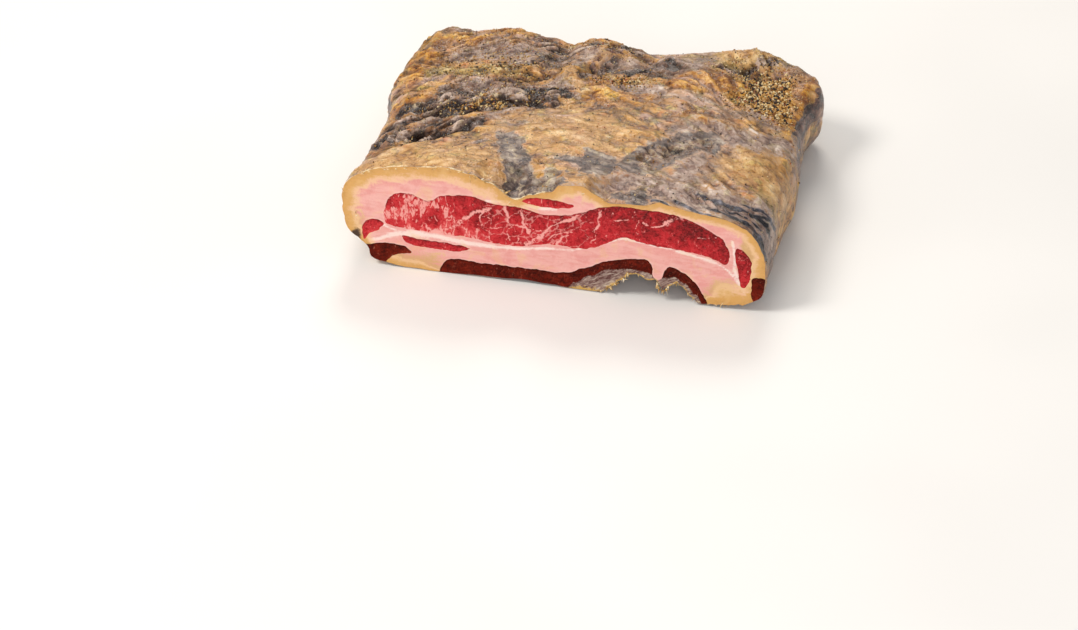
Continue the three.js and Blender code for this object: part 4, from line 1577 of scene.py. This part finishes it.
def make_grain_material(name, dark, light, roughness):
    """Coarsely crushed spice: dry and matt, its colour a little different from grain to grain."""
    material, tree, where = new_material(name)
    tone = add(tree, "ShaderNodeTexNoise", {
        "Vector": where, "Scale": per_metre(1.4), "Detail": 2.0, "Roughness": 0.6,
    })[0]
    base = paint(tree, linear(dark), ((tone, 0.35, 0.65, 1.0, light),))
    bump = add(tree, "ShaderNodeBump", {
        "Strength": BUMP_STRENGTH, "Distance": 0.2 * MM, "Height": tone,
    })[0]
    finish_material(tree, base, {
        "Roughness": roughness, "Normal": bump, "Specular IOR Level": 0.35,
    })
    return material


def make_shred_material():
    """Dried fat and membrane frayed by the knife: thin, stiff and horny, cream to yellow, with a
    brown tip here and there."""
    material, tree, where = new_material("frayed_dry_fat")
    tone = add(tree, "ShaderNodeTexNoise", {
        "Vector": where, "Scale": per_metre(2.4), "Detail": 3.0, "Roughness": 0.6,
    })[0]
    wide = weighted(tree, -0.9, ((tone, 2.8),))
    ramp = add(tree, "ShaderNodeValToRGB", {"Fac": wide}, (
        "7a5530", "c79a52", "e0bd7c", "ecd6ae", "f6ecd8",
    ))[0]
    bump = add(tree, "ShaderNodeBump", {
        "Strength": BUMP_STRENGTH, "Distance": 0.2 * MM, "Height": tone,
    })[0]
    finish_material(tree, ramp, {
        "Roughness": 0.3, "Normal": bump, "Specular IOR Level": 0.5, "IOR": 1.46,
    })
    return material


def make_floor_material():
    """Matt white laminate table top: plain and pale, its tone faintly uneven."""
    material, tree, where = new_material("matt_white_laminate")
    tone = add(tree, "ShaderNodeTexNoise", {
        "Vector": where, "Scale": per_metre(260), "Detail": 2.0, "Roughness": 0.5,
    })[0]
    base = paint(tree, linear("e9e7e4"), ((tone, 0.4, 0.6, 1.0, "edebe8"),))
    finish_material(tree, base, {"Roughness": 0.6})
    return material


def colour_setting(name, description, tone):
    """A colour that a user can change, with its default as an sRGB hex value."""
    return bpy.props.FloatVectorProperty(
        name=name,
        description=description,
        subtype="COLOR",
        size=4,
        min=0.0,
        max=1.0,
        default=linear(tone),
    )


class SlabSettings(bpy.types.PropertyGroup):
    """Sizes and colours of the slab that a user would change."""

    wrinkle_depth: bpy.props.FloatProperty(
        name="Wrinkle Depth",
        description="Height of the main wrinkles of the dried skin",
        default=0.0010,
        min=0.0,
        max=0.003,
        subtype="DISTANCE",
        unit="LENGTH",
    )
    rim_width: bpy.props.FloatProperty(
        name="Yellow Rim Width",
        description="Width of the yellow, aged border of the cut fat at its widest",
        default=0.011,
        min=0.0,
        max=0.02,
        subtype="DISTANCE",
        unit="LENGTH",
    )
    skin_colour: colour_setting(
        "Skin Colour", "Middle tone of the dried skin between its patches", "ba8958"
    )
    fat_colour: colour_setting(
        "Fat Colour", "Main colour of the cut fat", "e39d94"
    )
    rim_colour: colour_setting(
        "Rim Colour", "Colour of the aged border of the cut fat", "d09c52"
    )
    lean_colour: colour_setting(
        "Lean Colour", "Middle tone of the moist lean meat", "b62027"
    )
    dried_lean_colour: colour_setting(
        "Dried Lean Colour",
        "Middle tone of the lean meat that has dried near the surface",
        "61170b",
    )


class SpiceSettings(bpy.types.PropertyGroup):
    """Amount and size of the spice on the skin."""

    grain_size: bpy.props.FloatProperty(
        name="Grain Size",
        description="Mean width of a crushed grain",
        default=0.0011,
        min=0.0003,
        max=0.003,
        subtype="DISTANCE",
        unit="LENGTH",
    )
    amount: bpy.props.FloatProperty(
        name="Amount",
        description="Share of the usual number of grains",
        default=1.0,
        min=0.0,
        max=2.0,
        subtype="FACTOR",
    )


class ShredSettings(bpy.types.PropertyGroup):
    """Size of the torn shreds at the cut."""

    length: bpy.props.FloatProperty(
        name="Length",
        description="Length of the shreds, as a share of their usual length",
        default=1.0,
        min=0.1,
        max=3.0,
        subtype="FACTOR",
    )


class StageSettings(bpy.types.PropertyGroup):
    """Light of the studio."""

    key_power: bpy.props.FloatProperty(
        name="Key Light Power",
        description="Power of the large soft light at the front left",
        default=15.0,
        min=0.0,
        max=500.0,
        subtype="POWER",
        unit="POWER",
    )
    world_strength: bpy.props.FloatProperty(
        name="World Strength",
        description="Strength of the even light from all round",
        default=0.5,
        min=0.0,
        max=5.0,
    )


# The torn zone: how it starts below its upper side, between which x it fades in and out, and the
# reach of its frayed edge left and right of the torn tip
TORN_EDGE = (-0.6, 1.6)
TORN_LEFT = (4, 14)
TORN_RIGHT = (78, 72)
TORN_TIP = (36, 42)
FRAYED_REACH = (4.5, 1.6)


def torn_zone(x, z):
    """How far a point of the cut lies in the torn zone beside the hollow, and how near its frayed
    lower edge: shares of the height under the zone's upper side, and 1 - height / reach."""
    torn = smooth(knot_height(TORN, x) - z, *TORN_EDGE)
    torn = torn * smooth(x, *TORN_LEFT) * smooth(x, *TORN_RIGHT)
    above = z - hollow(x, CUT_Y)
    reach = lerp(*FRAYED_REACH, smooth(x, *TORN_TIP))
    return torn, torn * np.clip(1 - above / reach, 0, 1)


def near_paths(paths, x, z):
    """Nearness to bent paths with half widths: 1 on a path, half at its half width."""
    field = np.zeros(np.shape(x))
    for path, width in paths:
        distance, _, _ = beside(path, x, z)
        field = np.maximum(field, nearness(distance / width))
    return field


def near_spots(spots, x, z):
    """Nearness to ellipses given as (middle, reach): 1 in the middle, half at the edge."""
    field = np.zeros(np.shape(x))
    for at, reach in spots:
        far = np.hypot((x - at[0]) / reach[0], (z - at[1]) / reach[1])
        field = np.maximum(field, nearness(far))
    return field


LEAN_EDGE_REACH = 1.6
# Width of the yellow border as shares of its widest, with where it changes along x: at the left and
# right of the top, and in the two feet. SLIM_RIM is its width along the underside, in mm.
LEFT_RIM_SHARE = 1.0
RIGHT_RIM_SHARE = 0.62
RIM_X = (-60, 40)
RIGHT_FOOT_SHARE = 1.25
RIGHT_FOOT_X = (72, 84)
LEFT_FOOT_SHARE = 0.62
LEFT_FOOT_X = (-66, -48)
FOOT_HEIGHT = (12, 30)
SLIM_RIM = 0.8


def rim_width_at(x, z, widest):
    """Width of the yellow border: widest at the left, narrower to the right, wide again in the
    rounded foot at the right, and narrow along the underside."""
    top = widest * lerp(LEFT_RIM_SHARE, RIGHT_RIM_SHARE, smooth(x, *RIM_X))
    right_foot = widest * RIGHT_FOOT_SHARE * smooth(x, *RIGHT_FOOT_X)
    left_foot = widest * LEFT_FOOT_SHARE * (1 - smooth(x, *LEFT_FOOT_X))
    low = np.maximum(np.maximum(right_foot, left_foot), SLIM_RIM)
    return lerp(low, top, smooth(z, *FOOT_HEIGHT))


STRIPE_FADING = (12, 34)
# Painted highlight along the edge of the cut: how deep behind the cut it reaches, and where it
# fades in along z and x
LIP_DEPTH = 2.4
LIP_Z = (30, 44)
LIP_X = (30, -10)


def paint_skin(piece):
    """Writes the skin's attributes: its patches, the stripes fading down the side, the dark lean
    that shows on the sides, and a painted highlight along the edge of the cut as 1 - distance /
    depth."""
    points = points_of(piece)
    normals = read_all(piece.data.vertices, "normal", 3)
    x, y, z = points.T
    flat_x, flat_y = skin_place(points)
    for kind in ("amber", "olive", "pale", "mould", "haze", "membrane", "spice"):
        store(piece, kind, patch(kind, flat_x, flat_y))
    store(piece, "stripe", patch("stripe", flat_x, flat_y) * smooth(z, *STRIPE_FADING))
    band = side_band(points, normals)
    store(piece, "plum", np.maximum(patch("plum", flat_x, flat_y), band))
    # A painted highlight along the edge of the cut
    edge_highlight = np.clip(1 - (y - CUT_Y) / LIP_DEPTH, 0, 1)
    store(piece, "edge_highlight", edge_highlight * smooth(z, *LIP_Z) * smooth(x, *LIP_X))


def paint_slab(piece, widest):
    """Writes the attributes of the cut fat: the nearness to the skin and to the lean as
    1 - distance / reach, the sinews, the spots of other fat and the torn zone."""
    points = points_of(piece)
    on_cut = np.abs(points[:, 1] - CUT_Y) < FACE_REACH
    slots = read_all(piece.data.polygons, "material_index", kind=np.int32)
    totals = read_all(piece.data.polygons, "loop_total", kind=np.int32)
    corners = read_all(piece.data.loops, "vertex_index", kind=np.int32)
    on_skin_face = np.zeros(len(points), bool)
    on_skin_face[corners[np.repeat(slots == SKIN_SLOT, totals)]] = True
    border = points[on_skin_face & on_cut][:, [0, 2]]
    outlines = np.concatenate([layer_outline(name) for name in LEAN_LAYERS])
    u, v = points[on_cut][:, 0], points[on_cut][:, 2]
    face = np.stack([u, v], axis=1)
    torn, frayed = torn_zone(u, v)
    values = {
        "rim": 1 - nearest(face, border) / rim_width_at(u, v, widest),
        "lean_edge": 1 - nearest(face, outlines) / LEAN_EDGE_REACH,
        "sinew": near_paths(SINEWS, u, v),
        "creamy": near_spots(CREAMY, u, v),
        "dried": near_spots(DRIED, u, v),
        "torn": torn,
        "frayed": frayed,
    }
    for name, value in values.items():
        whole = np.zeros(len(points))
        whole[on_cut] = np.clip(value, 0, 1)
        store(piece, name, whole)


SLICE = 1.0
SLICE_REACH = 1.3


def height_share(outline, x, z):
    """Share of the way up from the outline's lower side to its upper side, at each x: the lowest
    and the highest of its points within SLICE_REACH."""
    places = np.arange(outline[:, 0].min(), outline[:, 0].max() + 1, SLICE)
    near = np.abs(outline[None, :, 0] - places[:, None]) < SLICE_REACH
    low = np.where(near, outline[None, :, 1], np.inf).min(axis=1)
    high = np.where(near, outline[None, :, 1], -np.inf).max(axis=1)
    low, high = np.interp(x, places, low), np.interp(x, places, high)
    return np.clip((z - low) / np.maximum(high - low, 1), 0, 1)


# Fine veins in the main lean layer: where along x they start, are full, and thin out again
NET = (-36.0, -28.0, 14.0, 26.0)
NET_THINNED = 0.75
# The lean is darker towards its upper edge: more so at the right, and within reach of that edge
RIGHT_DEEPER = 0.35
DEEPER_X = (0, 60)
EDGE_REACH = 2.0
UPPER_PART = (0.35, 0.8)
SEAM_WARP = 1.0
SEAM_WARP_SIZE = 4.5
SEAM_MEAN = 0.85
SEAM_RANGE = 0.5
# Spots without marbling: size with seed, the noise where they start and are full, and how bare
BARE_SPOTS = ((9, 9, 7), 69)
BARE_EDGE = (0.05, 0.35)
BARENESS = 0.75
# Marbling and veins of the other lean layers
PLAIN_MARBLED = 0.12
PLAIN_NET = 0.3


def paint_lean(piece, name):
    """Writes a lean piece's attributes: seams as 1 - distance / (2 half widths), how marbled it is,
    how many fine veins it has, the share of its height, nearness to its upper edge, and the torn
    zone."""
    points = points_of(piece)
    x, _, z = points.T
    flat = flat_on_cut(x, z)
    u = x + SEAM_WARP * clouds(flat, SEAM_WARP_SIZE, 61, 2)
    v = z + SEAM_WARP * clouds(flat, SEAM_WARP_SIZE, 63, 2)
    if name == "lean_main":
        seam = near_paths(SEAMS, u, v) * (SEAM_MEAN + SEAM_RANGE * noise(flat, 5, 67))
        border = x + MARBLED_SLANT * (z - MARBLED_LEVEL)
        marbled = 1 - smooth(border, MARBLED_END - MARBLED_RUN, MARBLED_END)
        marbled *= 1 - BARENESS * smooth(noise(flat, *BARE_SPOTS), *BARE_EDGE)
        net = smooth(x, NET[0], NET[1]) * (1 - NET_THINNED * smooth(x, NET[2], NET[3]))
    else:
        seam, marbled, net = (np.full_like(x, value) for value in (0, PLAIN_MARBLED, PLAIN_NET))
    store(piece, "seam", seam)
    store(piece, "marbled", marbled)
    store(piece, "net", net)
    outline = layer_outline(name)
    share = height_share(outline, x, z)
    store(piece, "share", share + RIGHT_DEEPER * smooth(x, *DEEPER_X))
    near = np.clip(1 - nearest(points[:, [0, 2]], outline) / EDGE_REACH, 0, 1)
    store(piece, "edge", near * smooth(share, *UPPER_PART))
    torn, frayed = torn_zone(x, z)
    store(piece, "torn", torn)
    store(piece, "frayed", frayed)


# A box round the whole cut face, as its lowest and highest (x, z)
CUT_FACE_BOX = ((-113, -3), (113, 66))


class PANCETTA_OT_slab(bpy.types.Operator):
    """Adds the slab: fat with its dried skin, the straight cut and the lean layers in it"""

    bl_idname = "pancetta.slab"
    bl_label = "Slab"

    def execute(self, context):
        settings = context.scene.pancetta_slab
        skin = make_skin(settings.skin_colour)
        cut = make_cut_fat(settings.fat_colour, settings.rim_colour)
        moist = make_lean("moist_cured_lean", (
            "560a0c", "8a1116", settings.lean_colour, "c93438", "de625f", "f0a49c",
        ), "eba39a", gloss=0.26, shine=0.22)
        dried = make_lean("dried_cured_lean", (
            "2e0a05", "451008", settings.dried_lean_colour, "7a2414", "924030", "a85a46",
        ), "8f5442", gloss=0.34, shine=0.06)
        surface, looks = slab_surface(settings.wrinkle_depth / MM)
        quads, lids = tube_faces(*surface.shape[:2])
        slab = new_piece("fat_and_skin", surface.reshape(-1, 3), quads, (skin, cut), lids)
        for name, values in looks.items():
            store(slab, name, values)
        # A copy of the uncut slab, which trims the lean to the slab's outside
        whole = slab.copy()
        whole.data = slab.data.copy()
        context.scene.collection.objects.link(whole)
        cut_straight(slab, *CUT_FACE_BOX, FAT_STEP, (skin, cut))
        for name, (_, slot, _) in LEAN_LAYERS.items():
            meat = layer_piece(name, (skin, cut))
            combine(slab, meat, "DIFFERENCE")
            outline = layer_outline(name)
            low, high = outline.min(axis=0) - 2, outline.max(axis=0) + 2
            cut_straight(meat, low, high, LEAN_STEP, (skin, cut))
            combine(meat, whole, "INTERSECT")
            meat.data.materials[CUT_SLOT] = dried if slot == "dried_lean" else moist
            paint_skin(meat)
            paint_lean(meat, name)
            sink_face(meat)
            soften(meat)
            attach(meat, "root")
            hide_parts(name)
        drop(whole)
        paint_skin(slab)
        paint_slab(slab, settings.rim_width / MM)
        sink_face(slab)
        soften(slab)
        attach(slab, "root")
        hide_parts("fat")
        return {"FINISHED"}


SHRED_SEED = 5
SHRED_STATIONS = 5
SHRED_THICKNESS = 0.35
SHRED_OVERHANG = 1.0
SHRED_HEIGHTS = (0.02, 59.4)
SHRED_ROOT = 0.8
SHRED_TIP = 0.03
SHRED_NARROWING = 0.6
# How the shreds differ: how deep behind the cut they start and how far aside, their directions and
# bends, the share that points the other way, and the spread of their lengths and widths
SHRED_DEPTHS = (0.1, 0.8)
SHRED_SCATTER = 0.2
SHRED_WAYS = 0.35
SHRED_BENDS = 0.4
SHRED_TURNED = 0.35
SHRED_LENGTHS = 0.45
SHRED_WIDTHS = 0.35
# Share of the way along the body's rings at which they reach the cut
CUT_TRAVEL = OVERSHOOT / (SLAB_DEPTH + OVERSHOOT)


def shred_rings(path, count, length, width, points_to, draw):
    """Rings of four corners along thin shreds that start beside a path on the cut: each goes its
    own way near points_to, bends, and narrows as (1 - t)^SHRED_NARROWING towards its tip."""
    base = bent_path(path, draw.random(count))
    across, level = section_columns()
    ring = body_rings(across[level > 0], level[level > 0], CUT_TRAVEL)
    edge = ring[np.argsort(ring[:, 0])]
    base[:, 0] = np.clip(base[:, 0], edge[0, 0] + SHRED_ROOT, edge[-1, 0] - SHRED_ROOT)
    skin = np.interp(base[:, 0], edge[:, 0], edge[:, 2])
    base[:, 1] = np.minimum(base[:, 1], skin - SHRED_ROOT)
    depth = CUT_Y + draw.uniform(*SHRED_DEPTHS, count)
    start = np.stack([base[:, 0], depth, base[:, 1]], axis=1)
    start += draw.normal(0, SHRED_SCATTER, (count, 3))
    way = np.array(points_to) + draw.normal(0, SHRED_WAYS, (count, 3))
    way[:, 0] *= np.where(draw.random(count) < SHRED_TURNED, -1, 1)
    way /= np.linalg.norm(way, axis=1, keepdims=True)
    bend = draw.normal(0, SHRED_BENDS, (count, 3))
    reach = length * np.exp(draw.normal(0, SHRED_LENGTHS, count))
    t = np.linspace(0, 1, SHRED_STATIONS)[None, :, None]
    spine = start[:, None] + reach[:, None, None] * (way[:, None] * t + bend[:, None] * t * t)
    across = np.cross(way, draw.normal(0, 1, (count, 3)))
    across /= np.linalg.norm(across, axis=1, keepdims=True)
    thick = np.cross(way, across)
    narrow = np.maximum(1 - t, SHRED_TIP) ** SHRED_NARROWING
    half = width * np.exp(draw.normal(0, SHRED_WIDTHS, count))[:, None, None] / 2 * narrow
    flat = SHRED_THICKNESS / 2 * narrow
    sideways, deep = across[:, None] * half, thick[:, None] * flat
    rings = np.stack([spine + sideways, spine + deep, spine - sideways, spine - deep], axis=2)
    rings[..., 1] = np.maximum(rings[..., 1], CUT_Y - SHRED_OVERHANG)
    rings[..., 2] = np.clip(rings[..., 2], *SHRED_HEIGHTS)
    return rings


class PANCETTA_OT_shreds(bpy.types.Operator):
    """Adds the small torn shreds along the rim and the hollow at the cut"""

    bl_idname = "pancetta.shreds"
    bl_label = "Shreds"

    def execute(self, context):
        scale = context.scene.pancetta_shreds.length
        draw = np.random.default_rng(SHRED_SEED)
        rings = np.concatenate([
            shred_rings(path, count, length * scale, width, points_to, draw)
            for path, count, length, width, points_to in SHREDS
        ])
        quads = np.concatenate(tube_faces(SHRED_STATIONS, 4))
        every = quads[None] + 4 * SHRED_STATIONS * np.arange(len(rings))[:, None, None]
        shreds = new_piece(
            "torn_shreds", rings.reshape(-1, 3), every.reshape(-1, 4), (make_shred_material(),)
        )
        shreds.data.shade_smooth()
        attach(shreds, "root")
        return {"FINISHED"}


GOLDEN = (1 + 5**0.5) / 2
ICOSAHEDRON = np.array(
    [(0, a, b * GOLDEN) for a in (-1, 1) for b in (-1, 1)]
    + [(a, b * GOLDEN, 0) for a in (-1, 1) for b in (-1, 1)]
    + [(b * GOLDEN, 0, a) for a in (-1, 1) for b in (-1, 1)],
    float,
) / math.hypot(1, GOLDEN)


def icosahedron_faces():
    """The 20 triples of corners that are an edge apart, each turned to face out."""
    gaps = np.linalg.norm(ICOSAHEDRON[:, None] - ICOSAHEDRON[None], axis=2)
    joined = (gaps > 0) & (gaps < gaps[gaps > 0].min() * 1.1)
    faces = []
    for i, j, k in itertools.combinations(range(len(ICOSAHEDRON)), 3):
        if joined[i, j] and joined[j, k] and joined[i, k]:
            a, b, c = ICOSAHEDRON[[i, j, k]]
            outwards = np.dot(np.cross(b - a, c - a), a + b + c) > 0
            faces.append((i, j, k) if outwards else (i, k, j))
    return np.array(faces)


def random_turns(count, draw):
    """Random rotation matrices, from unit quaternions."""
    quaternions = draw.normal(size=(4, count))
    w, x, y, z = quaternions / np.linalg.norm(quaternions, axis=0)
    rows = (
        (1 - 2 * (y * y + z * z), 2 * (x * y - z * w), 2 * (x * z + y * w)),
        (2 * (x * y + z * w), 1 - 2 * (x * x + z * z), 2 * (y * z - x * w)),
        (2 * (x * z - y * w), 2 * (y * z + x * w), 1 - 2 * (x * x + y * y)),
    )
    return np.moveaxis(np.array(rows), -1, 0)


SPICE_SHARPNESS = 2.8
BARE_RIM = 2.5
LYING = (-0.1, 0.4)


def places_on_skin(piece, count, draw, evenness):
    """Random points on the skin with their normals and their spice, picked by triangle area and
    spice density, away from the cut."""
    mesh = piece.data
    mesh.calc_loop_triangles()
    corners = read_all(mesh.loop_triangles, "vertices", 3, np.int32)
    points = points_of(piece)
    spice = read_all(mesh.attributes["spice"].data, "value")[corners].mean(axis=1)
    a, b, c = (points[corners[:, k]] for k in range(3))
    cross = np.cross(b - a, c - a)
    area = np.linalg.norm(cross, axis=1) / 2
    normal = cross / (2 * area[:, None] + 1e-12)
    behind_cut = (a[:, 1] + b[:, 1] + c[:, 1]) / 3 > CUT_Y + BARE_RIM
    upwards = smooth(normal[:, 2], *LYING)
    density = evenness + np.clip(spice, 0, 2) ** SPICE_SHARPNESS
    chance = area * upwards * behind_cut * density
    chosen = draw.choice(len(corners), count, p=chance / chance.sum())
    u, v = draw.random((2, count))
    over = u + v > 1
    u, v = np.where(over, 1 - u, u)[:, None], np.where(over, 1 - v, v)[:, None]
    place = a[chosen] + u * (b - a)[chosen] + v * (c - a)[chosen]
    return place, normal[chosen], spice[chosen]


# Kinds of spice: name, number of grains, size, proportions, density where there is little spice,
# its two tones, and roughness
GRAIN_KINDS = (
    ("black_pepper_grains", 2900, 1.0, (1.0, 0.8, 0.6), 0.02, ("1f1611", "43332a"), 0.6),
    ("golden_spice_grains", 6000, 1.2, (1.0, 0.75, 0.4), 0.008, ("94622c", "d0a45c"), 0.5),
    ("pale_pepper_grains", 3000, 1.15, (1.0, 0.75, 0.45), 0.01, ("b89a68", "e6d2a4"), 0.55),
    ("red_pepper_flakes", 900, 1.0, (1.2, 0.8, 0.3), 0.01, ("6a2814", "a8542c"), 0.5),
)
GRAIN_SEED = 20
SUNK = 0.25
FINE_GRAIN = 0.5
COARSE_GRAIN = 1.08
COARSE_SPICE = (0.35, 0.9)
GRAIN_SPREAD = 0.48
SPREAD_LIMITS = (-2, 1.5)
CORNER_JITTER = (0.62, 1.25)


class PANCETTA_OT_spice(bpy.types.Operator):
    """Adds the crushed spice on the skin, one piece for each kind"""

    bl_idname = "pancetta.spice"
    bl_label = "Spice"

    def execute(self, context):
        slab = bpy.data.objects.get("fat_and_skin")
        if slab is None:
            raise RuntimeError("the slab is made before its spice")
        settings = context.scene.pancetta_spice
        faces = icosahedron_faces()
        for order, (name, count, scale, shape, evenness, tones, rough) in enumerate(GRAIN_KINDS):
            draw = np.random.default_rng(GRAIN_SEED + order)
            count = int(count * settings.amount)
            place, normal, spice = places_on_skin(slab, count, draw, evenness)
            coarse = lerp(FINE_GRAIN, COARSE_GRAIN, smooth(spice, *COARSE_SPICE))
            spread = GRAIN_SPREAD * np.clip(draw.normal(0, 1, count), *SPREAD_LIMITS)
            size = settings.grain_size / MM * scale * np.exp(spread) / 2 * coarse
            jitter = draw.uniform(*CORNER_JITTER, (count, len(ICOSAHEDRON), 1))
            local = ICOSAHEDRON[None] * jitter * (np.array(shape) * size[:, None])[:, None]
            turned = np.einsum("nij,nkj->nki", random_turns(count, draw), local)
            lift = (size * (min(shape) - SUNK))[:, None] * normal
            points = turned + (place + lift)[:, None]
            corner = faces[None] + len(ICOSAHEDRON) * np.arange(count)[:, None, None]
            material = make_grain_material(name + "_surface", *tones, rough)
            grains = new_piece(name, points.reshape(-1, 3), corner.reshape(-1, 3), (material,))
            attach(grains, "root")
        return {"FINISHED"}


# Lights: name, place and size in metres, share of the key light's power, and colour
LIGHTS = (
    ("key_light", (-0.85, -0.55, 1.25), 0.55, 1.0, "fffaf3"),
    ("fill_light", (0.35, -1.5, 0.7), 1.0, 0.5, "fbfbff"),
    ("back_light", (-0.2, 1.15, 1.2), 0.7, 0.7, "fff8ee"),
)
LIGHT_TARGET = (0, 0, 0.02)


class PANCETTA_OT_stage(bpy.types.Operator):
    """Adds the pale floor, the soft studio lights and the camera"""

    bl_idname = "pancetta.stage"
    bl_label = "Stage"

    def execute(self, context):
        scene = context.scene
        settings = scene.pancetta_stage
        half = FLOOR_SIZE / 2 / MM
        flat = np.array([(-half, -half, 0), (half, -half, 0), (half, half, 0), (-half, half, 0)])
        floor = new_piece("floor", flat, np.array([(0, 1, 2, 3)]), (make_floor_material(),))
        for name, place, size, share, colour in LIGHTS:
            data = bpy.data.lights.new(name, "AREA")
            data.shape = "DISK"
            data.size = size
            data.energy = settings.key_power * share
            data.color = linear(colour)[:3]
            light = bpy.data.objects.new(name, data)
            light.location = place
            look = Vector(LIGHT_TARGET) - Vector(place)
            light.rotation_euler = look.to_track_quat("-Z", "Y").to_euler()
            scene.collection.objects.link(light)
        world = bpy.data.worlds.new("studio")
        world.use_nodes = True
        background = world.node_tree.nodes["Background"]
        background.inputs["Color"].default_value = linear("f6f6f6")
        background.inputs["Strength"].default_value = settings.world_strength
        scene.world = world
        data = bpy.data.cameras.new("photo_camera")
        data.sensor_width = SENSOR_WIDTH
        data.lens = PHOTO_FOCAL_LENGTH / PHOTO_WIDTH * SENSOR_WIDTH
        camera = bpy.data.objects.new("photo_camera", data)
        camera.location = [(a + b) * MM for a, b in zip(CAMERA_AT, MIDDLE_SHIFT)]
        camera.rotation_euler = Vector(CAMERA_LOOKS).to_track_quat("-Z", "Y").to_euler()
        scene.collection.objects.link(camera)
        scene.camera = camera
        scene.view_settings.view_transform = "Standard"
        scene.view_settings.look = "None"
        return {"FINISHED"}


GROUPS = {
    "pancetta_slab": SlabSettings,
    "pancetta_shreds": ShredSettings,
    "pancetta_spice": SpiceSettings,
    "pancetta_stage": StageSettings,
}


class PANCETTA_PT_panel(bpy.types.Panel):
    """Lists the settings and the pieces"""

    bl_idname = "PANCETTA_PT_panel"
    bl_label = "Flat Pancetta"
    bl_space_type = "VIEW_3D"
    bl_region_type = "UI"
    bl_category = "Pancetta"

    def draw(self, context):
        for group in GROUPS:
            box = self.layout.box()
            settings = getattr(context.scene, group)
            for name in settings.bl_rna.properties.keys():
                if name not in ("rna_type", "name"):
                    box.prop(settings, name)
            box.operator(group.replace("_", "."))


CLASSES = (
    *GROUPS.values(),
    PANCETTA_OT_slab, PANCETTA_OT_shreds, PANCETTA_OT_spice, PANCETTA_OT_stage,
    PANCETTA_PT_panel,
)


def register():
    for entry in CLASSES:
        bpy.utils.register_class(entry)
    for name, settings in GROUPS.items():
        setattr(bpy.types.Scene, name, bpy.props.PointerProperty(type=settings))


def unregister():
    for name in GROUPS:
        delattr(bpy.types.Scene, name)
    for entry in reversed(CLASSES):
        bpy.utils.unregister_class(entry)


def main():
    """Registers the add-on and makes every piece."""
    register()
    bpy.ops.pancetta.stage()
    bpy.ops.pancetta.slab()
    bpy.ops.pancetta.shreds()
    bpy.ops.pancetta.spice()


if __name__ == "__main__":
    main()
